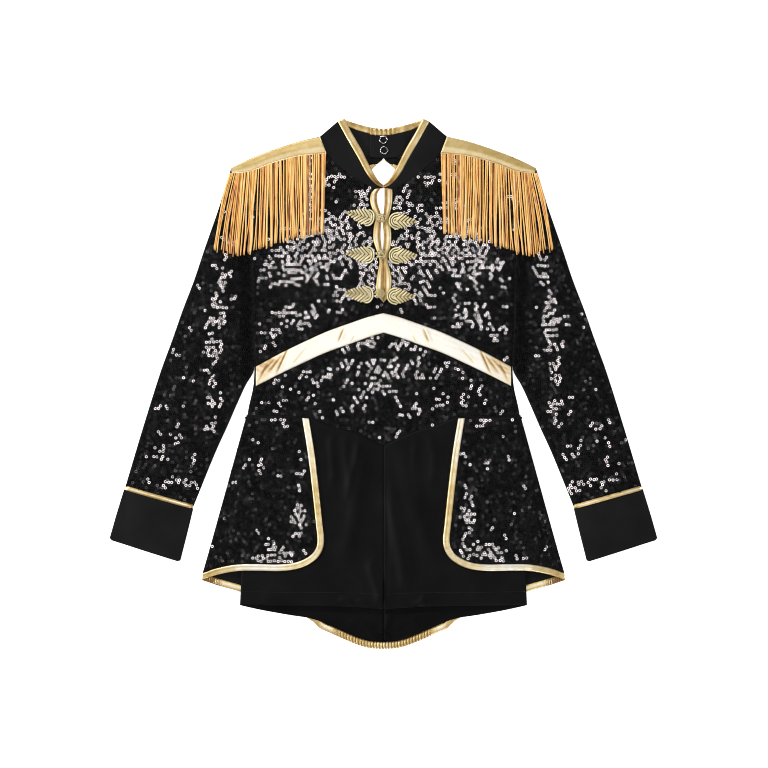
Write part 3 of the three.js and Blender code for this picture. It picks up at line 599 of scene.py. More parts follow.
# painted light and shade across a binding: painted highlights near its two edges with a darker middle and painted shade
# right at the edges, or one roll with a painted highlight on its crown
BINDING_PAINTED_LIGHT = {
    "fold": lambda t: 0.4 + 0.2 * np.exp(-(np.abs(np.abs(t - 0.5) - 0.33) / 0.09) ** 2) - 0.24 * np.exp(-(np.minimum(t, 1 - t) / 0.05) ** 2),
    "round": lambda t: 0.34 + 0.2 * np.sin(math.pi * t) ** 2,
}


def band(name, a, b, under, thick, mat, nodes=None, across=10, kind="fold", ripple=None, gap=0.004, tone=None):
    """A strip between two lines with the same number of points, its face rounded across."""
    n = len(a) - 1
    g = np.stack([line(a[i], b[i], across) for i in range(n + 1)])
    mid = even(0.5 * (a + b), 400)
    length = float(np.linalg.norm(np.diff(mid, axis=0), axis=1).sum())
    area = abs(area_of(loop_of(g)))
    g = inset(g, gap)
    x, y = g[..., 0], g[..., 1]
    low = under(x, y) if callable(under) else np.full(x.shape, float(under))
    prof = ridge_profile(across, kind)[None, :]
    top = low + 0.35 + (thick - 0.35) * prof
    if ripple is not None:
        top = top + ripple(x, y, np.linspace(0, 1, n + 1)[:, None] * length) * prof
    v, f = wall(g, low, top)
    t = np.linspace(0, 1, across + 1)[None, :]
    s = np.linspace(0, 1, n + 1)[:, None] * length
    tn = (BINDING_PAINTED_LIGHT[kind](t) + 0 * s) if tone is None else tone(x, y, s, t) + 0 * x
    ob = make("v_" + name, v, f, mat, nodes or [name], tone=np.concatenate([tn.ravel(), tn.ravel()]))
    SHEETS[name] = (ob, np.array([area / length, length]), None, g)
    return ob


def crinkle(seed, amp=0.16, step=3.2):
    """Small pulls across a stitched binding."""
    r = np.random.default_rng(seed)
    ph = r.random(5) * 6.28

    def f(x, y, s):
        w = sum(np.sin(s * (2 * math.pi / (step * k)) + ph[i]) / k ** 0.2 for i, k in enumerate((1.0, 1.7, 2.9, 4.3)))
        return amp * 0.5 * w + 0 * x
    return f


# ------------------------------------------------------------------ sequins
def chains(p, share, pitch, r):
    """Which discs are lit: crooked chains of neighbours, until each place has about its share of them."""
    cell = {}
    for i, (a, b) in enumerate(np.floor(p / pitch).astype(int)):
        cell.setdefault((a, b), []).append(i)
    near = []
    for i, (a, b) in enumerate(np.floor(p / pitch).astype(int)):
        c = [j for da in (-1, 0, 1) for db in (-1, 0, 1) for j in cell.get((a + da, b + db), ()) if j != i]
        d = np.hypot(*(p[c] - p[i]).T) if c else np.zeros(0)
        near.append([j for j, e in zip(c, d) if e < 1.36 * pitch])
    lit = np.zeros(len(p), bool)
    want = float(share.sum())
    weight = share ** 1.15
    starts = r.choice(len(p), size=len(p) * 2, p=weight / weight.sum())
    done = 0
    for i in starts:
        if done >= want:
            break
        if lit[i] or sum(lit[j] for j in near[i]) > (1 if share[i] < 0.3 else 2):
            continue
        steps = 1 + r.integers(0, 3 + int(9 * share[i]))
        for _ in range(steps):
            lit[i] = True
            done += 1
            nxt = [j for j in near[i] if not lit[j] and sum(lit[k] for k in near[j]) <= (1 if share[j] < 0.3 else 2) and r.random() < 2.6 * share[j] + 0.1]
            if not nxt:
                break
            i = nxt[r.integers(len(nxt))]
    return lit


def sequins(name, poly, height, slot_to, sides, pitch, tilt, sign=1, seed=1, glint=None, margin=1.3, limit=None):
    """Holed discs stitched close together over an outline. glint(u, v) is how many lie turned to the front light."""
    r = np.random.default_rng(seed)
    lo, hi = poly.min(0), poly.max(0)
    rows = np.arange(lo[1], hi[1], pitch * 0.866)
    pts = []
    for k, yy in enumerate(rows):
        xx = np.arange(lo[0] + (pitch / 2 if k % 2 else 0), hi[0], pitch)
        pts.append(np.column_stack([xx, np.full(len(xx), yy)]))
    p = np.vstack(pts)
    p += 1.7 * np.column_stack([noise2(p[:, 0], p[:, 1], 13, 61), noise2(p[:, 0], p[:, 1], 13, 62)]) + r.normal(0, 0.34, p.shape)
    ok = inside(poly, p[:, 0], p[:, 1])
    p = p[ok]
    p = p[edge_distance(poly, p[:, 0], p[:, 1]) > margin]
    x, y = p[:, 0], p[:, 1]
    n = len(p)
    u, v = uv(x, y)
    d = 0.5
    z = height(x, y)
    gx = (height(x + d, y) - height(x - d, y)) / (2 * d)
    gy = (height(x, y + d) - height(x, y - d)) / (2 * d)
    ang = r.random(n) * 2 * math.pi
    if glint is not None:
        lit = chains(p, glint(u, v), pitch, r)
        amount = np.where(lit, np.abs(r.normal(0, 0.008, n)), np.radians(r.uniform(tilt[0], tilt[1], n)))
        half_lit = ~lit & (r.random(n) < 0.22 * (1 - armhole_shade(u, v)))
        amount = np.where(half_lit, np.radians(r.uniform(5.6, 8.2, n)), amount)
        nx, ny = np.cos(ang) * np.tan(amount) - x / 2050.0, np.sin(ang) * np.tan(amount) - y / 2050.0     # all lean a little to the middle
        patchy = noise2(u * K + 9, v * K + 4, 6.5, 12)
        # discs turned to the front light also get a brighter colour, a painted highlight over their real reflection;
        # discs beside the armhole are painted darker, painted shade
        tone = np.where(lit, r.uniform(0.5, 1.0, n), 0.08 + 0.7 * patchy * r.random(n) ** 1.4)
        tone = tone * (1 - 0.9 * armhole_shade(u, v))
    else:
        amount = np.radians(r.uniform(tilt[0], tilt[1], n))
        nx, ny = np.cos(ang) * np.tan(amount), np.sin(ang) * np.tan(amount)
        tone = r.uniform(0.2, 0.6, n)
    R, hole = 1.68, 0.92
    lean = np.hypot(nx, ny)
    zc = z + sign * (0.12 + 0.62 * R * lean)
    if limit is not None:
        zc = np.maximum(zc, limit + R * lean)
    th = np.linspace(0, 2 * math.pi, sides, endpoint=False) + 0.3
    ring = np.column_stack([np.cos(th), np.sin(th)])
    if glint is None:                              # underside: a dished disc with a dark middle
        verts = np.zeros((n, sides + 1, 3))
        verts[:, :sides, 0], verts[:, :sides, 1] = x[:, None] + ring[:, 0] * R, y[:, None] + ring[:, 1] * R
        verts[:, :sides, 2] = zc[:, None] - R * (ring[:, 0] * nx[:, None] + ring[:, 1] * ny[:, None])
        verts[:, sides] = np.column_stack([x, y, zc + 0.02])
        k = np.arange(sides)
        tri = np.stack([k, (k + 1) % sides, np.full(sides, sides)], axis=1)[None]
        faces = (np.arange(n)[:, None, None] * (sides + 1) + tri).reshape(-1, 3)[:, ::-1]
        dots = np.repeat(tone, sides + 1).reshape(n, -1)
        dots[:, sides] = 0
        ob = make(name, verts.reshape(-1, 3), faces, SEQ, flat_faces=np.ones(len(faces), bool), tone=dots)
        SEQUINS.setdefault(slot_to, []).append(ob)
        return ob
    verts = np.zeros((n, 2 * sides, 3))
    for k, rad in enumerate((R, hole)):
        ox, oy = ring[:, 0] * rad, ring[:, 1] * rad
        verts[:, k * sides:(k + 1) * sides, 0] = x[:, None] + ox
        verts[:, k * sides:(k + 1) * sides, 1] = y[:, None] + oy
        verts[:, k * sides:(k + 1) * sides, 2] = zc[:, None] - (ox * nx[:, None] + oy * ny[:, None])
    base = np.arange(n)[:, None, None] * 2 * sides
    k = np.arange(sides)
    quad = np.stack([k, (k + 1) % sides, (k + 1) % sides + sides, k + sides], axis=1)[None]
    faces = (base + quad).reshape(-1, 4)
    if sign < 0:
        faces = faces[:, ::-1]
    ob = make(name, verts.reshape(-1, 3), faces, SEQ, flat_faces=np.ones(len(faces), bool), tone=np.repeat(tone, 2 * sides))
    SEQUINS.setdefault(slot_to, []).append(ob)
    return ob


SEQUINS = {}
# where the front catches light: U, V, half width, half height, share of sequins lit; mirrored
GLOW = tab([
    [338, 176, 14, 14, 0.3], [364, 203, 16, 16, 0.42], [328, 246, 38, 34, 0.8], [368, 266, 16, 38, 0.5], [300, 262, 32, 28, 0.62],
    [270, 268, 16, 16, 0.36], [304, 316, 38, 18, 0.33], [272, 338, 14, 14, 0.26], [345, 294, 20, 10, 0.36],
    [360, 345, 26, 10, 0.3], [330, 372, 46, 20, 0.22], [383, 372, 22, 34, 0.3], [280, 402, 18, 9, 0.12], [300, 390, 26, 14, 0.15], [350, 404, 34, 14, 0.28], [383, 425, 14, 16, 0.2],
    [282, 424, 10, 8, 0.32], [262, 468, 5, 12, 0.36], [276, 474, 4, 12, 0.3], [300, 480, 4, 26, 0.32], [299, 520, 7, 20, 0.55],
    [280, 556, 26, 14, 0.38], [304, 545, 8, 14, 0.28], [172, 440, 30, 30, 0.085], [310, 196, 4, 44, 0.5],
])
STRIPES = tab([ # U0, V0, U1, V1, half width, share
    [224, 256, 219, 300, 7, 0.4], [219, 300, 213, 345, 8, 0.5], [213, 345, 212, 392, 7, 0.42], [212, 392, 209, 428, 6, 0.34],
    [176, 428, 180, 446, 6, 0.14], [158, 440, 160, 458, 5, 0.3], [184, 440, 196, 460, 12, 0.12], [172, 482, 200, 488, 5, 0.4], [150, 480, 165, 484, 4, 0.28],
])


def armhole_shade(u, v):
    """The sleeve sinks beside the armhole seam and stays dark."""
    u = U0 - np.abs(u - U0)
    return np.exp(-((u - along(ARMHOLE, v) + 5) / 8.5) ** 4) * smooth((v - 236) / 14) * smooth((384 - v) / 14)


def glow(u, v):
    u = U0 - np.abs(u - U0)
    s = np.full(u.shape, 0.026)
    for a, b, w, h, k in GLOW:
        s = np.maximum(s, k * np.exp(-np.maximum(0, ((u - a) / w) ** 2 + ((v - b) / h) ** 2 - 0.15) * 1.5))
    for a, b, c, d, w, k in STRIPES:
        dx, dy = c - a, d - b
        t = np.clip(((u - a) * dx + (v - b) * dy) / (dx * dx + dy * dy), 0, 1)
        s = np.maximum(s, k * np.exp(-(np.hypot(u - a - t * dx, v - b - t * dy) / w) ** 2))
    s = s * (1 - 0.95 * armhole_shade(u, v))
    spots = noise2(u * K + 40, v * K, 9.0, 6) * 0.6 + noise2(u * K, v * K, 4.6, 5) * 0.4
    return np.clip(s * (0.5 + 1.0 * smooth((spots - 0.3) / 0.4)), 0, 0.9)


# ------------------------------------------------------------------ the back
def pair_grid(name, g, under, thick, mat, slot, **kw):
    panel(name + "_left", g, under, thick, mat, slot, **kw)
    panel(name + "_right", g[::-1] * np.array([-1, 1]), under, thick, mat, slot, **kw)


def back_low(x, y):
    return BASE + back_rise(x, y)


n1 = 56
left = even(joined(crom(ARMHOLE, 60), crom(SIDE, 40)), 90)
key = joined(crom(tab([[383.35, 158], [381.6, 160.2]]), 3), crom(KEY_BIND, 40), crom(tab([[383.35, 257.4], [383.35, 415]]), 47))
top = joined(crom(SHOULDER, 30)[::-1], crom(BACK_NECK, 26))
pair_grid("back", patch(top, line([X(247.4), Y(415)], [X(383.35), Y(415)], n1), left, key), back_low, 0.45, KNIT, "sequin_black")
for side, mr in (("left", 1), ("right", -1)):
    a, b = crom(KEY_BIND, 90), crom(KEY_EDGE, 90)
    band("keyhole_binding_" + side, a * [mr, 1], b * [mr, 1], 0.0, 1.15, GOLD, kind="round", across=8, ripple=crinkle(3, 0.1, 2.2))


def lap(x, y=None):
    return np.where(x > -16, (T + G) * smooth((X(412) - x) / (X(412) - X(403))), 0)


bt, bb = crom(BACK_TOP, 60), crom(BACK_BIND, 60)
seam = joined(crom(np.vstack([[[320.6, 136.9]], BACK_NECK[1:]]), 44), crom(tab([[383.35, 158], [397, 157.2]]), 16))
up = crom(tab([[337.4, 122.4], [346.4, 126], [355, 129.4], [364, 132.2], [374, 134.4], [385, 135.6], [397, 134.6]]), 60)
gc = patch(up, seam, line(up[0], seam[0], 16), line(up[-1], seam[-1], 16))
panel("collar_back_left", gc, lambda x, y: 0 * x, 0.9, PLAIN, "plain_black")
panel("collar_back_right", gc[::-1] * np.array([-1, 1]), lap, 0.9, PLAIN, "plain_black")


def gathers(x, y, s):
    """Pleats pulled into the back neck's binding near the centre."""
    c = np.exp(-(x / 12.0) ** 4)
    return c * 0.55 * (np.sin(x * 1.25 + 0.6) + 0.5 * np.sin(x * 2.7)) + crinkle(8, 0.1, 3)(x, y, s)


# painted light and shade on the neck's pleats: brighter on their ridges and darker between them, in step with their
# shape, with painted shade along both edges
def gather_light_and_shade(x, y, s, t):
    c = np.exp(-(x / 13.0) ** 4)
    return 0.42 + c * (0.2 * np.sin(x * 1.25 + 0.6) + 0.1 * np.sin(x * 2.7)) + (1 - c) * 0.12 * np.sin(s / 2.3 + 2 * t) * np.sin(s / 5.1) - 0.22 * np.exp(-(np.minimum(t, 1 - t) / 0.08) ** 2)


band("neck_binding_back_left", bt, bb, 0.0, 1.2, GOLD, kind="round", ripple=gathers, tone=gather_light_and_shade)
band("neck_binding_back_right", mirror(bt), mirror(bb), lap, 1.2, GOLD, kind="round", ripple=gathers, tone=gather_light_and_shade)


def rings(name, u, v, z, nodes):
    verts, faces = [], []
    R, r, A, B = 3.95, 0.5, 48, 10
    for i in range(A):
        a = 2 * math.pi * i / A
        for j in range(B):
            b = 2 * math.pi * j / B
            verts.append([X(u) + (R + r * math.cos(b)) * math.cos(a), Y(v) + (R + r * math.cos(b)) * math.sin(a), z + r + r * math.sin(b)])
            faces.append([i * B + j, ((i + 1) % A) * B + j, ((i + 1) % A) * B + (j + 1) % B, i * B + (j + 1) % B])
    ob = make(name, verts, faces, STEEL, nodes)
    # five small prongs hold the ring
    pv, pf = [], []
    for q in range(5):
        a = 2 * math.pi * (q + 0.3) / 5
        cx, cy = X(u) + 3.1 * math.cos(a), Y(v) + 3.1 * math.sin(a)
        s = 0.34
        o = len(pv)
        for dz in (0.05, 0.45):
            for dx, dy in ((-s, -s), (s, -s), (s, s), (-s, s)):
                pv.append([cx + dx, cy + dy, z + dz])
        pf += [[o + 3, o + 2, o + 1, o], [o + 4, o + 5, o + 6, o + 7]] + [[o + k, o + (k + 1) % 4, o + 4 + (k + 1) % 4, o + 4 + k] for k in range(4)]
    make(name + "_prongs", pv, pf, STEEL)
    return ob


rings("v_snap_top", 383.4, 139.6, 2 * T + 2 * G - 0.1, ["snap_top"])
rings("v_snap_bottom", 384, 150.3, 2 * T + 2 * G - 0.1, ["snap_bottom"])

# ------------------------------------------------------------------ collar, V binding, upper front
def v_tone(x, y, s, t):
    """The V's binding turns into shade where its ends meet."""
    v = V0 - y / K
    return BINDING_PAINTED_LIGHT["fold"](t) + 0.03 + 0.1 * np.exp(-((v - 140) / 12) ** 2) - 0.22 * smooth((v - 170) / 10) - 0.16 * smooth((v - 178) / 5) + 0.05 * np.sin(s / 3.1)


neck, vo, vi = crom(NECK_FRONT, 70), crom(V_OUTER, 70), crom(V_INNER, 70)
gcf = patch(neck, vo, line(neck[0], vo[0], 18), line(neck[-1], vo[-1], 18))
pair_grid("collar_front", gcf, front, 0.9, PLAIN, "plain_black")
for side, mr in (("left", 1), ("right", -1)):
    band("neck_binding_front_" + side, vo * [mr, 1], vi * [mr, 1], front, 1.75, GOLD, across=12, ripple=crinkle(11, 0.07, 5), tone=v_tone)

slit_rows = {k: SLIT[:, [i, 0]] for k, i in (("lo", 1), ("li", 2), ("ri", 3), ("ro", 4))}
shut = SLIT[:, 3] - SLIT[:, 2] < 0.45
slit_rows["li"][shut, 0], slit_rows["ri"][shut, 0] = 383.497, 383.503
slit_rows["li"] = np.vstack([[[380.6, 188.5]], slit_rows["li"][1:]])
slit_rows["ri"] = np.vstack([[[384.6, 188.5]], slit_rows["ri"][1:]])
slit = {k: crom(r, 120) for k, r in slit_rows.items()}


def upper(edge):
    c = even(joined(edge, crom(tab([[383.497, 302], [383.497, 313]]), 8)), 98)
    a = even(joined(crom(ARMHOLE, 80), crom(tab([[253.2, 335], [254.35, 352], [254.9, 366.8]]), 16)), 98)
    t = joined(crom(SHOULDER, 32)[::-1], crom(NECK_FRONT, 34))
    t[-1] = c[0]
    b = crom(BELT_TOP, 66)
    b[0], b[-1] = a[-1], c[-1]
    return patch(t, b, a, c)


panel("front_left", upper(slit["lo"]), front, TOPC, KNIT, "sequin_black")
panel("front_right", upper(mirror(slit["ro"]))[::-1] * np.array([-1, 1]), front, TOPC, KNIT, "sequin_black")


def soft_roll(seed):
    """The slit's binding rolls over between the frogs, so it stands highest between them."""
    def f(x, y, s):
        v = V0 - y / K
        swell = 0.5 * np.abs(np.sin((v - 183) / 36.5 * math.pi)) + 0.1
        return swell + crinkle(seed, 0.09, 6)(x, y, s)
    return f


# painted highlight on the slit's roll down its length: V, brightness of its crown
ROLL_LIGHT = tab([[186, 0.35], [191, 0.7], [200, 0.92], [209, 0.72], [214, 0.5], [222, 0.3], [226, 0.5], [236, 0.9], [246, 0.75], [252, 0.4], [260, 0.3], [266, 0.42], [274, 0.66], [285, 0.92], [291, 0.6], [297, 0.3], [303, 0.2]])


# painted light and shade across the roll: a painted highlight on its crown and a pale painted highlight near its outer
# edge, painted shade at its outer rim and towards the slit
def roll_light_and_shade(x, y, s, t):
    v = V0 - y / K
    crown = np.interp(v, ROLL_LIGHT[:, 0], ROLL_LIGHT[:, 1])
    rim = 0.34 * np.exp(-(t / 0.05) ** 2)
    pale = 0.14 * np.exp(-((t - 0.13) / 0.07) ** 2)
    return 0.42 + (crown - 0.36) * np.exp(-((t - 0.42) / 0.17) ** 2) + pale - rim - 0.27 * smooth((t - 0.6) / 0.22)


band("placket_left", slit["lo"], slit["li"], front, 2.1, GOLD, kind="round", across=14, ripple=soft_roll(21), tone=roll_light_and_shade)
band("placket_right", slit["ro"], slit["ri"], front, 2.1, GOLD, kind="round", across=14, ripple=soft_roll(22), tone=roll_light_and_shade)


# creases of the belt: U, V at its middle, lean, half width, reach up and down, depth in mm
BELT_CREASES = tab([
    [341, 335, -0.4, 0.95, 6.5, 1.0], [352.5, 339, -0.5, 0.7, 3.5, 0.5], [282, 361, -0.45, 1.1, 12, 1.1], [275, 364, -0.75, 1.6, 8, 0.8],
    [268, 366, -0.9, 1.3, 7, 0.6], [299, 356, -0.8, 1.2, 8, 0.45], [263, 372, -0.5, 1.2, 9, 0.5],
])


def belt_lines(x, y, wide=1.0):
    u, v = U0 - np.abs(x) / K, V0 - y / K
    k = 0 * u
    for a, b, lean, w, reach, deep in BELT_CREASES:
        k = k + deep * np.exp(-((u - a - (v - b) * lean) / (w * wide)) ** 2) * np.exp(-((v - b) / reach) ** 4)
    return k


def belt_folds(x, y, s):
    return -0.75 * belt_lines(x, y) + 0.4 * belt_lines(x - 2.4, y, 1.6) + 0.1 * np.sin(s / 7.0) + 0.06 * np.sin(s / 2.6 + y)


# painted light and shade on the belt: pale gold painted near white over most of it, partly its own colour and partly
# painted highlight, with painted shade towards its ends, in its creases and along both edges, over random streaks
def belt_light_and_shade(x, y, s, t):
    u = U0 - np.abs(x) / K
    end = smooth((292 - u) / 34)
    streaks = noise2(x * 0.5 + y * 1.1, y * 0.22 - x * 0.1, 2.4, 33)
    base = 0.9 - end * (0.12 + 0.5 * streaks * (1.1 - 0.9 * t)) - 0.04 * streaks
    rim = np.exp(-(np.minimum(t, 1 - t) / 0.035) ** 2)
    return base - 0.8 * np.clip(belt_lines(x, y, 1.1), 0, 1) - 0.4 * rim


tb, lb = both(crom(BELT_TOP, 150)), both(crom(BELT_LOW, 150))
band("belt", tb, lb, front, 1.15, BELT, kind="round", across=22, ripple=belt_folds, tone=belt_light_and_shade)
wp = both(crom(POINT, 60))
lf = both(crom(BELT_LOW, 60))
sd = crom(tab([[255.9, 386.2], [253.3, 392], [250.6, 400], [248.8, 407], [247.4, 415]]), 50)
panel("front_lower", patch(lf, wp, sd, mirror(sd)), front, TOPC, KNIT, "sequin_black")


# ------------------------------------------------------------------ cords: frogs and knots
def tube_mesh(path, radius, sides=7, closed=False):
    """A round cord along 3-D points."""
    p = np.asarray(path, float)
    n = len(p)
    d = np.roll(p, -1, axis=0) - np.roll(p, 1, axis=0) if closed else np.gradient(p, axis=0)
    d /= np.maximum(np.linalg.norm(d, axis=1), 1e-9)[:, None]
    upv = np.tile([0.0, 0, 1], (n, 1))
    sx = np.cross(d, upv)
    sx /= np.maximum(np.linalg.norm(sx, axis=1), 1e-6)[:, None]
    sy = np.cross(sx, d)
    rad = np.broadcast_to(np.asarray(radius, float), (n,))
    a = np.linspace(0, 2 * math.pi, sides, endpoint=False)
    v = p[:, None] + rad[:, None, None] * (np.cos(a)[None, :, None] * sx[:, None] + np.sin(a)[None, :, None] * sy[:, None])
    faces = []
    m = n if closed else n - 1
    for i in range(m):
        i2 = (i + 1) % n
        for j in range(sides):
            faces.append([i * sides + j, i * sides + (j + 1) % sides, i2 * sides + (j + 1) % sides, i2 * sides + j])
    # painted light: each cord is painted brighter along its top and darker underneath
    lift_ = (v[..., 2] - p[:, None, 2]) / np.maximum(rad, 1e-6)[:, None]
    tone = (0.38 + 0.52 * lift_).ravel()
    v = v.reshape(-1, 3)
    if not closed:
        tone = np.concatenate([tone, [0.4, 0.4]])
        o = len(v)
        v = np.vstack([v, p[:1], p[-1:]])
        for j in range(sides):
            faces.append([o, (j + 1) % sides, j, j])
            faces.append([o + 1, (n - 1) * sides + j, (n - 1) * sides + (j + 1) % sides, (n - 1) * sides + (j + 1) % sides])
    return v, faces, tone


class Bunch:
    """Collects tubes into one mesh of triangles."""

    def __init__(self):
        self.v, self.f, self.t, self.n = [], [], [], 0

    def add(self, v, f, tone):
        for q in f:
            q = [a + self.n for a in dict.fromkeys(q)]
            self.f.append(q[:3])
            if len(q) == 4:
                self.f.append([q[0], q[2], q[3]])
        self.v.append(v)
        self.t.append(np.broadcast_to(tone, len(v)))
        self.n += len(v)

    def make(self, name, mat, slot, nodes=()):
        return make(name, np.vstack(self.v), self.f, mat, nodes, tone=np.concatenate(self.t) if mat.name in TONED else None)


for f, (ku, kv, lru, lrv, ltu, ltv, rru, rrv, rtu, rtv) in enumerate(FROGS):
    for au, av, bu, bv, side in ((lru, lrv, ltu, ltv, "left"), (rru, rrv, rtu, rtv, "right")):
        a, b = np.array([X(au), Y(av)]), np.array([X(bu), Y(bv)])
        L = np.linalg.norm(b - a)
        d = (b - a) / L
        nrm = np.array([-d[1], d[0]])
        bunch = Bunch()
        cr = 0.7                                   # cord radius
        half = LEAF_HALF * K

        def width(s):
            return half * np.interp(s, LEAF[:, 0], LEAF[:, 1])

        def lift(q, extra):
            return np.column_stack([q, front(q[:, 0], q[:, 1]) + BIND + G + extra])

        # nested turns of cord round the root, then pairs of cords in a herringbone that leans to the tip
        mid = (0.31 if side == "right" else 0.22) * L
        step_ = 2.75
        for k in range(3 if side == "right" else 2):
            ry = half - 0.95 - step_ * k
            rx = max(0.9, mid - 1.0 - step_ * k * 0.88)
            t = np.linspace(math.pi * 0.5, math.pi * 1.5, 26)
            run = 0.6 * (half - ry) + 1.2
            lead = np.linspace(1, 0, 6)[:-1]
            al = np.concatenate([mid + run * lead, mid + rx * np.cos(t), mid + run * lead[::-1]])
            of = np.concatenate([ry + 0.6 * run * lead, ry * np.sin(t), -ry - 0.6 * run * lead[::-1]])
            rim_ = np.array([width(q / L) for q in al]) - 0.6
            of = np.where(al > mid, np.clip(of, -rim_, rim_), of)
            q = a + d * al[:, None] + nrm * of[:, None]
            v_, f_, tn = tube_mesh(lift(q, cr * 0.9 + 0.1 * k), 0.92, 8)
            bunch.add(v_, f_, tn - (0.1 if side == "right" else 0.03))
        rc = np.random.default_rng(90 + f)
        pitch = 4.2
        for k in range(10):
            s0 = (mid - (0.75 if side == "right" else 1.25) * step_ + k * pitch) / L
            if s0 > 0.93:
                break
            for sg in (-1, 1):
                s0_ = s0 + (0.25 * pitch / L if sg > 0 else 0)
                s1 = s0_
                for _ in range(6):
                    s1 = min(0.985, s0_ + 1.02 * width(s1) / L)
                w1 = max(0.5, width(s1) - 0.15)
                lean = math.atan2(w1, max(0.5, (s1 - s0_) * L))
                shade = rc.uniform(-0.1, 0.1)
                for e in (-0.6, 0.6):
                    t = np.linspace(0, 1, 11)
                    along_ = s0_ * L * (1 - t) + s1 * L * t + e * math.sin(lean) * (1 - 0.4 * t)
                    off = sg * (w1 * t - e * math.cos(lean) * (1 - 0.4 * t))
                    q = a + d * np.minimum(along_, 0.99 * L)[:, None] + nrm * off[:, None]
                    z = 0.6 + 1.0 * np.sin(t * math.pi * 0.8) + 0.25 * (sg > 0)
                    v_, f_, tn = tube_mesh(lift(q, z), 0.62, 7)
                    body = np.repeat(t, 7)
                    tn[:len(body)] += shade - (0.12 if side == "right" else 0.08) - 0.2 * (body > 0.92) - 0.1 * smooth((s0 - 0.5) / 0.3) + (0.08 if e < 0 else -0.06)
                    bunch.add(v_, f_, tn)
        bunch.make(f"v_frog{f + 1}_cords_{side}", CORD, "cord_gold")
        s = np.linspace(0, 1, 24)
        g = np.stack([line(a + d * L * t - nrm * max(0.2, width(t) - 1.1), a + d * L * t + nrm * max(0.2, width(t) - 1.1), 8) for t in s])
        # the dark sheet under the cords is painted shade for the grooves between them
        panel(f"frog{f + 1}_leaf_{side}", g, lambda x, y: front(x, y) + BIND + G - 0.15, 0.45, CORD_GROOVE_SHADE, "cord_gold", gap=0.0)
    bunch = Bunch()
    kx, ky = X(ku), Y(kv)
    z0 = float(front(np.array([kx]), np.array([ky]))[0]) + BIND + G + 0.9
    turns = np.linspace(-0.12, 2.5, 80)
    rr = 0.45 + 4.75 * np.clip(turns, 0, None) / 2.5 + 0.2
    q = np.column_stack([kx + rr * np.cos(turns * 2 * math.pi) * 1.04, ky + rr * np.sin(turns * 2 * math.pi) * 0.94, z0 + 0.85 + 1.5 * (1 - turns / 2.5)])
    v_, f_, tn = tube_mesh(q, 0.74, 8)
    bunch.add(v_, f_, tn - 0.2)
    for k in range(3):                              # wraps that lie over the coil
        t = np.linspace(0, 1, 14)
        ang = 0.7 + 2.1 * k + 0.4 * f
        c, s_ = math.cos(ang), math.sin(ang)
        q = np.column_stack([kx + (t - 0.5) * 10.6 * c - 2.1 * s_, ky + (t - 0.5) * 9.4 * s_ + 2.1 * c, z0 + 0.75 + 2.1 * np.sin(t * math.pi) ** 0.7])
        v_, f_, tn = tube_mesh(q, 0.72, 7)
        bunch.add(v_, f_, tn - 0.22)
    bunch.make(f"v_frog{f + 1}_knot", CORD, "cord_gold", [f"frog{f + 1}_knot"])


# ------------------------------------------------------------------ epaulettes and fringes
def over(x, y):
    return front(x, y) + T + G


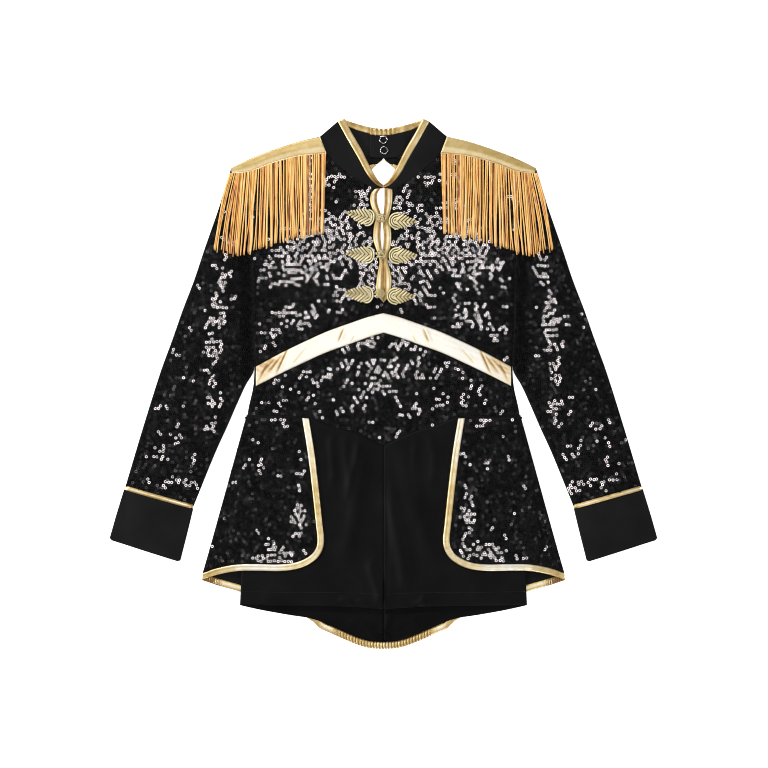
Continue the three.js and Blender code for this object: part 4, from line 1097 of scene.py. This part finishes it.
# thin places in the fringe: U, half width, share of strands missing
FRINGE_GAPS = tab([[309.5, 3.4, 0.85], [262, 2.4, 0.75], [284, 1.6, 0.7], [236, 1.6, 0.15], [274, 1.3, 0.65], [295, 1.1, 0.6], [249, 1.4, 0.3],
                   [317.5, 0.8, 0.6], [302, 0.8, 0.55], [289.5, 0.8, 0.6], [279, 0.8, 0.6], [268, 0.9, 0.6], [256, 0.9, 0.3], [243, 0.9, 0.25]])
for side, mr in (("left", 1), ("right", -1)):
    a, b = crom(BOARD_TOP, 90) * [mr, 1], crom(BOARD_LOW, 90) * [mr, 1]

    def crown(x, y, s):
        return 0.35 * np.sin(s / 31.0 + 0.5) * 0.3 + 0 * x
    g = np.stack([line(a[i], b[i], 20) for i in range(91)])
    x, y = g[..., 0], g[..., 1]
    t = np.linspace(0, 1, 21)[None, :]
    edge = np.clip(np.minimum(t, 1 - t) / 0.1, 0, 1) ** 0.5
    roll = 1.15 + 1.1 * np.exp(-((t - 0.56) / 0.3) ** 2) * np.linspace(1, 0.45, 91)[:, None]   # stiff board under the lame
    low = over(x, y)
    v, f = wall(g, low, low + 0.3 + roll * edge)
    sa = np.linspace(0, 1, 91)[:, None]
    # painted light and shade on the board: its lower half painted lighter than its upper half, lighter towards its
    # inner end, a painted highlight low on its outer half, painted shade along the upper edge and a dark line along the
    # lower edge that is partly stitching and partly painted shade, over random mottling
    tn = 0.34 + 0.3 * smooth((t - 0.5) / 0.2) + 0.12 * (1 - sa) - 0.34 * np.exp(-((t - 1) / 0.05) ** 2) - 0.12 * np.exp(-(t / 0.06) ** 2)
    tn = tn + 0.14 * np.exp(-((t - 0.82) / 0.07) ** 2) * smooth((sa - 0.5) / 0.4) + 0 * x
    tn = tn + 0.12 * (noise2(x * 0.5, y, 3.0, 71) - 0.5) + 0.1 * (noise2(x, y, 1.6, 72) - 0.5)
    ob = make("v_epaulette_" + side, v, f, BOARD, ["epaulette_" + side], tone=np.concatenate([tn.ravel(), tn.ravel()]))
    ln = float(np.linalg.norm(np.diff(0.5 * (a + b), axis=0), axis=1).sum())
    SHEETS["epaulette_" + side] = (ob, np.array([abs(area_of(loop_of(g))) / ln, ln]), None, g)
    # cord piping round the board's inner end and lower edge
    bunch = Bunch()
    edge_line = np.vstack([line(a[0], b[0], 14), b[1:]])
    q = np.column_stack([edge_line, over(edge_line[:, 0], edge_line[:, 1]) + 1.25])
    v_, f_, tn = tube_mesh(q, 0.62, 8)
    bunch.add(v_, f_, tn + 0.12)
    bunch.make("v_epaulette_piping_" + side, BOARD, "epaulette_gold")

    # strands in two layers
    r = np.random.default_rng(31)
    top_l, low_l = crom(FRINGE_TOP, 400) * [mr, 1], crom(FRINGE_LOW, 400) * [mr, 1]
    bunch = Bunch()
    count = 62
    for layer in range(2):
        for k in range(count):
            s = np.clip((k + 0.5 + r.normal(0, 0.3) + 0.5 * layer) / count, 0.004, 0.996)
            uu = U0 - abs(np.interp(s * 400, np.arange(401), top_l[:, 0])) / K
            gap_ = sum(np.exp(-((uu - a_) / w_) ** 2) * k_ for a_, w_, k_ in FRINGE_GAPS)
            if r.random() < gap_ or (layer == 1 and s < 0.82 and r.random() < 0.36):
                continue
            i = s * 400
            p0 = np.array([np.interp(i, np.arange(401), top_l[:, c]) for c in (0, 1)])
            fan = s - 0.078 * smooth(s / 0.4) * (1 - smooth((s - 0.86) / 0.14))     # only the outer ones spread
            pull = 5.0 * math.sin(s * 61.0 + 1.3) + 3.2 * math.sin(s * 131.0)      # strands draw together in locks
            j = np.clip(400 * fan + pull * 0.8 + r.normal(0, 1.6), 0, 400)
            p1 = np.array([np.interp(j, np.arange(401), low_l[:, c]) for c in (0, 1)])
            p1 = p1 + (p1 - p0) / np.linalg.norm(p1 - p0) * r.uniform(-4.5, 1.2)
            p0 = p0 + (p0 - p1) / np.linalg.norm(p1 - p0) * 1.2
            m = 18
            t = np.linspace(0, 1, m + 1)
            side_ = np.array([-(p1 - p0)[1], (p1 - p0)[0]]) / np.linalg.norm(p1 - p0)
            wave = r.normal(0, 0.75) * np.sin(t * math.pi * r.uniform(1.0, 2.4) + r.random() * 6) * t + r.normal(0, 0.2) * np.sin(t * 11 + r.random() * 6) * t
            if mr < 0:
                wave = -wave
            q = p0 * (1 - t)[:, None] + p1 * t[:, None] + side_ * wave[:, None]
            q[:, 0] -= mr * 2.6 * np.sin(t * math.pi) * smooth((s - 0.86) / 0.14)          # the outer strands fall over the arm in a bow
            rad = r.uniform(0.58, 0.9)
            zz = over(q[:, 0], q[:, 1]) + 0.5 + rad + 0.75 * (1 - layer) + 0.3 * r.random() - 0.15 * t
            zz = zz + 0.5 * np.exp(-(t / 0.06) ** 2)
            v_, f_, tn = tube_mesh(np.column_stack([q, zz]), rad * (1 - 0.25 * (t > 0.97)), 6)
            rust = np.repeat(smooth((noise2(q[:, 0] * 1.8, q[:, 1] * 0.6, 4.0, 77) - 0.5) / 0.12), 6)
            tn[:len(rust)] -= 0.9 * rust * r.random() ** 1.5
            # the lower layer of strands is painted darker: painted shade under the upper layer
            bunch.add(v_, f_, 0.52 + (tn - 0.38) * 0.4 + r.normal(0.03, 0.1) - 0.22 * layer)
    ob = bunch.make("v_fringe_" + side, FRINGE, "fringe_gold", ["fringe_" + side])
    SHEETS["fringe_" + side] = (ob, None, None, None)


# ------------------------------------------------------------------ sleeves, piping, cuffs
def flat_tube(name, g, mat, base, t=0.8, fold=1.25, puff=0.0, sheet=True):
    """Flattened tube on a grid whose rows run across it; base is how high its underside lies."""
    n, m = g.shape[0] - 1, g.shape[1] - 1
    w = np.linalg.norm(g[:, -1] - g[:, 0], axis=1)[:, None]
    e = (g[:, -1] - g[:, 0]) / w
    # finer steps near the two folds
    s = np.concatenate([np.array([0, 0.0025, 0.006, 0.011, 0.018, 0.03]), np.linspace(0.05, 0.95, m - 9), 1 - np.array([0.03, 0.018, 0.011, 0.006, 0.0025, 0])])
    k = s * m
    i0 = np.minimum(np.floor(k).astype(int), m - 1)
    fr = (k - i0)[None, :, None]
    P = g[:, i0] * (1 - fr) + g[:, i0 + 1] * fr
    dist = np.minimum(s, 1 - s)[None, :] * w
    rings_ = []
    for r in range(2):
        ins = t if r else 0.0
        shift = np.where(s[None, :] < 0.5, 1, -1) * ins * (np.abs(s[None, :] - 0.5) > 0.25) * smooth((np.abs(s[None, :] - 0.5) - 0.25) / 0.2)
        Q = P + e[:, None, :] * shift[..., None]
        x, y = Q[..., 0], Q[..., 1]
        high = 2 * T + sleeve_gap(x, y) + puff
        f = np.sqrt(np.clip(1 - (1 - np.clip(dist / (fold if not r else fold * 0.6), 0, 1)) ** 2, 0, 1))
        lo_, hi_ = base + ins, high - ins
        hi_ = np.maximum(hi_, lo_ + 0.12)
        mid = 0.5 * (lo_ + hi_)
        rings_.append((np.dstack([Q, mid - (mid - lo_) * f]), np.dstack([Q, mid + (hi_ - mid) * f])))
    loops = []
    for low, high in rings_:
        loops.append(np.concatenate([low, high[:, ::-1][:, 1:-1]], axis=1))
    M = loops[0].shape[1]
    v = np.concatenate([loops[0].reshape(-1, 3), loops[1].reshape(-1, 3)])
    N = (n + 1) * M
    i, kk = np.meshgrid(np.arange(n), np.arange(M), indexing="ij")
    a, b = (i * M + kk).ravel(), (i * M + (kk + 1) % M).ravel()
    outer = np.column_stack([a, b, b + M, a + M])
    inner = np.column_stack([a, a + M, b + M, b]) + N
    q = np.arange(M)
    q2 = (q + 1) % M
    e0 = np.column_stack([q, q + N, q2 + N, q2])
    e1 = np.column_stack([q, q2, q2 + N, q + N]) + n * M
    e1[:, 2:] = np.column_stack([q2 + N, q + N]) + n * M
    f = np.vstack([outer, inner, e0, e1])
    vol = np.einsum("ij,ij->i", v[f[:, 0]], np.cross(v[f[:, 1]], v[f[:, 2]])).sum() + np.einsum("ij,ij->i", v[f[:, 0]], np.cross(v[f[:, 2]], v[f[:, 3]])).sum()
    if vol < 0:
        f = f[:, ::-1]
    ob = make("v_" + name, v, f, mat, [name])
    ln = float(np.linalg.norm(np.diff(0.5 * (g[:, 0] + g[:, -1]), axis=0), axis=1).sum())
    ar = 2 * abs(area_of(loop_of(g)))
    SHEETS[name] = (ob, np.array([ar / ln, ln]), None, g)
    return ob


so, si = crom(SLEEVE_OUT, 104), crom(SLEEVE_IN, 104)
si[0] = crom(ARMHOLE, 46)[-1]
gs = patch(so, si, crom(ARMHOLE, 46), line(so[-1], si[-1], 46))
gs = gs.copy()
step = (gs[1] - gs[0])
gs[0] += step / np.linalg.norm(step, axis=1)[:, None] * 0.004
step = (gs[-2] - gs[-1])
gs[-1] += step / np.linalg.norm(step, axis=1)[:, None] * 0.1


def side_of(g, mr):
    return g if mr == 1 else g * np.array([-1, 1])


po, pi_ = np.array([[X(125.2), Y(486.6)], [X(123.9), Y(489.2)]]), np.array([[X(193.6), Y(505.8)], [X(193.2), Y(508.2)]])
across = (po[1] - po[0]) / np.linalg.norm(po[1] - po[0])
gp = np.stack([line(po[0] + across * s - across * 1.3 * (s == 0), pi_[0] + across * s - across * 1.3 * (s == 0), 40) for s in np.linspace(-1.2, 3.9, 9)])
co, ci = crom(CUFF_OUT, 40), crom(CUFF_IN, 40)
gcuff = patch(co, ci, line(co[0], ci[0], 40), line(co[-1], ci[-1], 40)).copy()
gcuff[0] += across * 0.6
down = np.linalg.norm(gcuff - gcuff[-1:], axis=2).mean(1)[:, None, None]
chord = gcuff[:, -1:] - gcuff[:, :1]
shrink = 1 - 2 * (2.6 - np.sqrt(np.clip(2.6 ** 2 - np.clip(2.6 - down, 0, None) ** 2, 0, None))) / np.linalg.norm(chord, axis=2)[..., None]
gcuff = (gcuff - gcuff[:, :1] - 0.5 * chord) * shrink + gcuff[:, :1] + 0.5 * chord
for side, mr in (("left", 1), ("right", -1)):
    flat_tube("sleeve_" + side, side_of(gs, mr), KNIT, BASE, t=0.45)
    flat_tube("cuff_" + side, side_of(gcuff, mr), PLAIN, 0.0)
    # piping: a round roll over the seam
    n = gp.shape[0]
    prof = np.sin(np.linspace(0, math.pi, n)) ** 0.6
    q = side_of(gp, mr)
    x, y = q[..., 0], q[..., 1]
    ln = np.linspace(0, 1, 41)[None, :] * 78
    rip = 0.12 * np.sin(ln / 1.5) + 0.1 * np.sin(ln / 3.7 + 1)
    high = 2 * T + sleeve_gap(x, y)
    edge = np.clip(np.minimum(np.linspace(0, 1, 41), 1 - np.linspace(0, 1, 41)) / 0.04, 0, 1)[None, :] ** 0.5
    topz = high * (0.5 + 0.5 * edge) + (0.15 + 1.0 * prof[:, None] + rip * prof[:, None]) * edge
    lowz = high * (0.5 - 0.5 * edge)
    lowz = np.maximum(0.0, lowz + 0.0)
    v, f = wall(q, lowz, topz)
    tt_, ss_ = np.linspace(0, 1, n)[:, None], np.linspace(0, 1, 41)[None, :]
    # painted highlight along the crown of the piping, darker towards its inner end
    tn = 0.36 + (0.5 + 0.16 * np.sin(ss_ * 9 + 0.6)) * np.exp(-((tt_ - 0.5) / 0.2) ** 2) - 0.2 * smooth((ss_ - 0.88) / 0.1)
    ob = make("v_cuff_piping_" + side, v, f, GOLD, ["cuff_piping_" + side], tone=np.concatenate([tn.ravel(), tn.ravel()]))
    SHEETS["cuff_piping_" + side] = (ob, np.array([5.1 * 2, 78.0]), None, q)

# ------------------------------------------------------------------ shorts, skirt, tail
sb, hb = crom(SHORTS_SIDE, 84), crom(HEM_BACK, 60)
wb = line(sb[0], [X(383.35), Y(415)], 60)
hb[0] = sb[-1]


def inner_folds(x, y):
    """What shows of the back of the shorts below the front hem: soft pulls from the crotch."""
    u, v = uv(x, y)
    return back_rise(x, y) + 1.6 * folds(u, v, CROTCH_FOLDS, False) * smooth((v - 611) / 5)


pair_grid("shorts_back", patch(wb, hb, sb, line(wb[-1], hb[-1], 84)), lambda x, y: T + G + inner_folds(x, y), TOPC, SHADED_INSIDE, "plain_black")
pt, sf, hf = crom(POINT, 76), crom(np.vstack([[[247.4, 415.0]], SHORTS_SIDE[1:]]), 90), crom(HEM_FRONT, 76)
sf[0], hf[0] = pt[0], sf[-1]
gsf = patch(pt, hf, sf, line(pt[-1], hf[-1], 90))
for side, mr in (("left", 1), ("right", -1)):
    panel("shorts_front_" + side, gsf if mr == 1 else gsf[::-1] * np.array([-1, 1]), front, 0.9, SHORTS, "plain_black")

WIDTH = 6.8 * K
edge = crom(SKIRT_EDGE, 240)
dd = np.gradient(edge, axis=0)
dd /= np.linalg.norm(dd, axis=1)[:, None]
inner = edge + np.column_stack([dd[:, 1], -dd[:, 0]]) * WIDTH
tt = np.linspace(0, 1, 241)[:, None]
w0, w1 = smooth(tt / 0.08), smooth((1 - tt) / 0.06)
inner = inner * w0 + (inner + (np.array([X(302.2), Y(418.2)]) - inner[0])) * (1 - w0)
inner = inner * w1 + (inner + (np.array([X(202.8), Y(573)]) - inner[-1])) * (1 - w1)
corner = int(np.argmin(np.hypot(edge[:, 0] - X(317.6), edge[:, 1] - Y(557.6))))
f1, hem = even(inner[:corner + 1], 96), even(inner[corner:], 66)[::-1]
ss = crom(SKIRT_SIDE, 96)
ts = even(np.column_stack([X(np.minimum(WAIST[:, 0], 302.2) - np.where(WAIST[:, 0] < 250, 3, 0)), Y(WAIST[:, 1] + 1.6)]), 66)
ss[0], ss[-1], ts[-1] = ts[0], hem[0], f1[0]
hem[-1] = f1[-1]
gk = patch(ts, hem, ss, f1)
th = crom(TAIL_HEM, 280)
dd = np.gradient(both(th), axis=0)[:281]
dd /= np.linalg.norm(dd, axis=1)[:, None]
tin = th + np.column_stack([-dd[:, 1], dd[:, 0]]) * WIDTH
w0 = smooth(np.linspace(0, 1, 281)[:, None] / 0.06)
tin = tin * w0 + (tin + (np.array([X(203.2), Y(573.4)]) - tin[0])) * (1 - w0)
tin[-1, 0] = th[-1, 0] = 0


def ruche(x, y, s):
    """Gathers over the middle of the tail's hem and near its corners."""
    u = U0 - np.abs(x) / K
    k = smooth((u - 332) / 6) + 0.8 * np.exp(-((u - 212) / 9) ** 2)
    return k * (0.42 * np.sin(x * 2 * math.pi / 3.3) + 0.16 * np.sin(x * 2 * math.pi / 2.1 + 1)) + crinkle(41, 0.07, 4)(x, y, s)


def hem_tone(x, y, s, t):
    """Painted highlights along the hem and towards the top of the front edge, darker near the binding's outer corner
    and around V 505, with painted shade along both edges, more at the outer edge low down.
    """
    u, v = U0 - np.abs(x) / K, V0 - y / K
    painted_shine = 0.3 * np.exp(-((u - 262) / 26) ** 4) * (v > 560) + 0.16 * smooth((470 - v) / 40) + 0.1 * np.exp(-((v - 556) / 7) ** 2)
    darker_parts = 0.16 * smooth((226 - u) / 12) + 0.1 * np.exp(-((v - 505) / 22) ** 2)
    cross = 0.08 * np.exp(-(np.abs(np.abs(t - 0.5) - 0.33) / 0.1) ** 2) - 0.26 * np.exp(-(np.minimum(t, 1 - t) / 0.06) ** 2) - 0.24 * np.exp(-(t / 0.09) ** 2) * (v > 545)
    return 0.62 + painted_shine + 0.08 * smooth((490 - v) / 30) - darker_parts + cross + 0.06 * np.sin(s / 2.1) * np.sin(s / 5.3)


# painted light and shade on the tail's binding: the gathers painted bright on their ridges and dark between them, a few
# brighter ridges at the middle, painted highlights on the smooth stretches, the gathered corner painted dark with
# bright flecks, and painted shade along both edges
def ruche_tone(x, y, s, t):
    u = U0 - np.abs(x) / K
    gather = smooth((u - 334) / 6)
    teeth = np.sin(x * 2 * math.pi / 3.3)
    plain_ = 0.5 + 0.42 * np.exp(-((u - 327) / 6) ** 4) * np.exp(-((t - 0.5) / 0.3) ** 2) + 0.36 * smooth((u - 218) / 6) * smooth((266 - u) / 8) * np.exp(-((t - 0.5) / 0.26) ** 2)
    corner = smooth((223 - u) / 6)
    rim = np.exp(-(np.minimum(t, 1 - t) / 0.06) ** 2)
    tone = plain_ * (1 - gather) + gather * (0.38 + 0.2 * teeth + 0.28 * np.exp(-((u - 380) / 6) ** 2) * (teeth > 0))
    return tone * (1 - corner) + corner * (0.1 + 0.1 * np.sin(x * 2 * math.pi / 2.4) + 0.85 * (np.sin(x * 2 * math.pi / 2.4 + 3 * t) > 0.35) * (np.abs(t - 0.45) < 0.26) * (u > 213.5)) - 0.16 * rim


for side, mr in (("left", 1), ("right", -1)):
    e_, i_ = edge * [mr, 1], inner * [mr, 1]
    band("skirt_binding_" + side, e_, i_, skirt, 1.9, GOLD, across=12, ripple=crinkle(31, 0.1, 4.5), tone=hem_tone)
    panel("skirt_" + side, gk if mr == 1 else gk[::-1] * np.array([-1, 1]), skirt, TOPC, KNIT, "sequin_black")
band("tail_binding", both(th), both(tin), 0.0, 1.25, GOLD, across=10, kind="round", ripple=ruche, tone=ruche_tone)
s8 = crom(SKIRT_SIDE, 70)
wl = both(line([X(246.4), Y(415)], [0, Y(415)], 56))
tl = both(even(tin, 56))
s8[0], s8[-1] = wl[0], tl[0]
panel("tail", patch(wl, tl, s8, mirror(s8)), back_low, 0.45, KNIT, "sequin_black")

# ------------------------------------------------------------------ sequins on every sequinned panel
OUT = {k: loop_of(SHEETS[k][3]) for k in ("front_left", "front_right", "front_lower", "skirt_left", "skirt_right", "back_left", "back_right", "tail", "sleeve_left", "sleeve_right")}


def top_front(x, y):
    return front(x, y) + TOPC


def top_skirt(x, y):
    return skirt(x, y) + TOPC


def top_sleeve(x, y):
    return 2 * T + sleeve_gap(x, y)


TILT = (8, 24)
for k, poly in OUT.items():
    if k.startswith("front"):
        sequins("v_sequins_" + k, poly, top_front, k, 7, 3.58, TILT, seed=len(k) + 3, glint=glow)
    elif k.startswith("skirt"):
        sequins("v_sequins_" + k, poly, top_skirt, k, 7, 3.58, TILT, seed=17 if "left" in k else 18, glint=glow)
    elif k.startswith("sleeve"):
        sequins("v_sequins_top_" + k, poly, top_sleeve, k, 7, 3.58, TILT, seed=27 if "left" in k else 28, glint=glow, margin=1.9)
        sequins("v_sequins_under_" + k, poly, lambda x, y: 0 * x + BASE, k, 6, 3.8, (0, 6), sign=-1, seed=37, margin=1.9, limit=0.04)
    else:
        sequins("v_sequins_under_" + k, poly, back_low, k, 6, 3.8, (0, 6), sign=-1, seed=47 + len(k), limit=0.04)


# ------------------------------------------------------------------ topstitching on the plain cloth
def stitches(name, path, height, slot, length=2.1, gap_=1.0, r=0.16):
    p = even(path, max(4, int(np.linalg.norm(np.diff(path, axis=0), axis=1).sum() / 0.5)))
    d = np.concatenate([[0], np.cumsum(np.linalg.norm(np.diff(p, axis=0), axis=1))])
    bunch = Bunch()
    s = 0.0
    while s + length < d[-1]:
        q = np.linspace(s, s + length, 5)
        xy = np.column_stack([np.interp(q, d, p[:, 0]), np.interp(q, d, p[:, 1])])
        z = height(xy[:, 0], xy[:, 1]) + 0.14 * np.sin(np.linspace(0, math.pi, 5))
        bunch.add(*tube_mesh(np.column_stack([xy, z]), r, 5))
        s += length + gap_
    return bunch.make(name, THREAD, slot)


def top_plain(x, y):
    return front(x, y) + 0.9


hem_st = crom(tab([[242, 591.6], [290, 592], [340, 592.4], [370, 593.4], [382.8, 594.6]]), 60)
STITCH = {}
for side, mr in (("left", 1), ("right", -1)):
    STITCH["shorts_front_" + side] = stitches("v_stitches_hem_" + side, hem_st * [mr, 1], top_plain, "plain_black")
    c_st = even(np.vstack([vo[2:-3] + (neck[2:-3] - vo[2:-3]) * 0.045]), 60)
    STITCH["collar_front_" + side] = stitches("v_stitches_collar_" + side, c_st * [mr, 1], top_plain, "plain_black", 1.9, 0.9, 0.12)

# the tacked fold where each sleeve lies against the body's side
for side, mr in (("left", 1), ("right", -1)):
    vv = np.linspace(336.5, 370.5, 30)
    q = np.column_stack([X(0.5 * (along(SLEEVE_IN, vv) + along(SIDE, vv))) * mr, Y(vv)])
    seam_ = Bunch()
    seam_.add(*tube_mesh(np.column_stack([q, np.full(30, 1.3)]), 0.26, 6))
    STITCH["sleeve_" + side] = seam_.make("v_side_fold_" + side, THREAD, "sequin_black")

# the front's seam below the slit, and the slit's bindings drawn together above it
q = np.column_stack([np.zeros(14), Y(np.linspace(302.4, 312.6, 14))])
seam_ = Bunch()
seam_.add(*tube_mesh(np.column_stack([q, front(q[:, 0], q[:, 1]) + TOPC + 0.1]), 0.42, 6))
STITCH["front_left"] = seam_.make("v_seam_front", KNIT, "sequin_black")
# the slit's bindings meet along a dark gold cord: painted shade in the crevice between them
q = np.column_stack([np.zeros(50), Y(np.linspace(262.5, 300.6, 50))])
seam_ = Bunch()
v_, f_, tn = tube_mesh(np.column_stack([q, front(q[:, 0], q[:, 1]) + 1.5]), 0.36, 6)
seam_.add(v_, f_, 0.16 + 0 * tn)
STITCH["placket_left"] = seam_.make("v_slit_crevice_shade", GOLD, "gold_binding")

# the raised seam of the crotch's gusset, inside the back
for side, mr in (("left", 1), ("right", -1)):
    q = crom(tab([[383.2, 631.8], [379.9, 633.2], [377.6, 636], [376.4, 639.2]]), 24) * [mr, 1]
    seam_ = Bunch()
    seam_.add(*tube_mesh(np.column_stack([q, T + G + inner_folds(q[:, 0], q[:, 1]) + TOPC + 0.3]), 0.45, 6))
    STITCH["shorts_back_" + side] = seam_.make("v_gusset_seam_" + side, SHORTS, "plain_black")

# ------------------------------------------------------------------ cloth facts
RESTS = {
    "front_left": ["v_back_left"], "front_right": ["v_back_right"], "front_lower": ["v_back_left", "v_back_right"],
    "collar_front_left": ["v_collar_back_left"], "collar_front_right": ["v_collar_back_right"],
    "shorts_front_left": ["v_shorts_back_left"], "shorts_front_right": ["v_shorts_back_right"],
    "shorts_back_left": ["v_tail"], "shorts_back_right": ["v_tail"],
    "skirt_left": ["v_shorts_front_left", "v_tail"], "skirt_right": ["v_shorts_front_right", "v_tail"],
    "skirt_binding_left": ["v_shorts_front_left"], "skirt_binding_right": ["v_shorts_front_right"],
    "belt": ["v_back_left", "v_back_right"], "placket_left": ["v_back_left"], "placket_right": ["v_back_right"],
    "neck_binding_front_left": ["v_collar_back_left"], "neck_binding_front_right": ["v_collar_back_right"],
    "epaulette_left": ["v_front_left"], "epaulette_right": ["v_front_right"],
}
for name, (ob, wl_, area, g) in SHEETS.items():
    if wl_ is None or name.startswith("frog"):
        continue
    w, l = float(wl_[0]) / 1000, float(wl_[1]) / 1000
    extra = [o for o in SEQUINS.get(name, [])]
    if name in STITCH:
        extra.append(STITCH[name])
    kw = dict(held="laid", rests_on=RESTS.get(name, ["floor"]))
    # a narrow strip: its area is given, as a cut under 10 mm wide can't be
    if area is None and w < 0.0101:          # a strip narrower than 10.1 mm: its area is given and its width set to 10.1 mm
        kw["area"] = w * l
        w = 0.0101
    if area is not None:
        kw["area"] = float(area) / 1e6
    if extra:
        kw["with_pieces"] = extra

# ------------------------------------------------------------------ floor, light, camera
bpy.ops.mesh.primitive_plane_add(size=6, location=(0, 0, -0.0004))
floor = bpy.context.object
floor.name = "floor"
fm, fnt, fb = material("white_surface")
fb.inputs["Base Color"].default_value = (0.9, 0.9, 0.9, 1)
fb.inputs["Roughness"].default_value = 0.9
fb.inputs["Emission Color"].default_value = (1, 1, 1, 1)
fb.inputs["Emission Strength"].default_value = 0.75
floor.data.materials.append(fm)

scene = bpy.context.scene
world = bpy.data.worlds.new("dim_room")
scene.world = world
world.use_nodes = True
world.node_tree.nodes["Background"].inputs["Color"].default_value = (0.9, 0.93, 1.0, 1)
world.node_tree.nodes["Background"].inputs["Strength"].default_value = 0.075


def lamp(name, at, look, size, power, colour=(1, 1, 1)):
    l = bpy.data.lights.new(name, "AREA")
    l.shape = "DISK"
    l.size = size
    l.energy = power
    l.color = colour
    ob = bpy.data.objects.new(name, l)
    scene.collection.objects.link(ob)
    ob.location = at
    d = np.array(look, float) - np.array(at, float)
    d /= np.linalg.norm(d)
    from mathutils import Vector
    ob.rotation_euler = Vector(d).to_track_quat("-Z", "Y").to_euler()
    return ob


lamp("front_light", (0.0, 0.0, 2.12), (0, 0, 0), 0.8, 6.5, (1.0, 0.98, 0.97))
lamp("key_high", (-1.3, 2.3, 1.45), (0, 0, 0), 0.5, 62.0)
lamp("key_low", (0.7, -2.5, 1.3), (0, 0, 0), 0.5, 28.0)
lamp("side_left", (-2.5, -0.3, 1.2), (0, 0, 0), 0.5, 50.0)
lamp("side_right", (2.5, 0.3, 1.3), (0, 0, 0), 0.5, 22.0)

cam = bpy.data.cameras.new("camera")
cam.lens = 85
cam.sensor_width = 36
cam_ob = bpy.data.objects.new("camera", cam)
scene.collection.objects.link(cam_ob)
cam_ob.location = (0.00055, -0.00055, 0.8448 * 85 / 36 + 0.003)
scene.camera = cam_ob
scene.render.resolution_x = scene.render.resolution_y = 768
scene.view_settings.view_transform = "Standard"
scene.view_settings.look = "None"
scene.render.film_transparent = False
scene.cycles.filter_width = 1.0

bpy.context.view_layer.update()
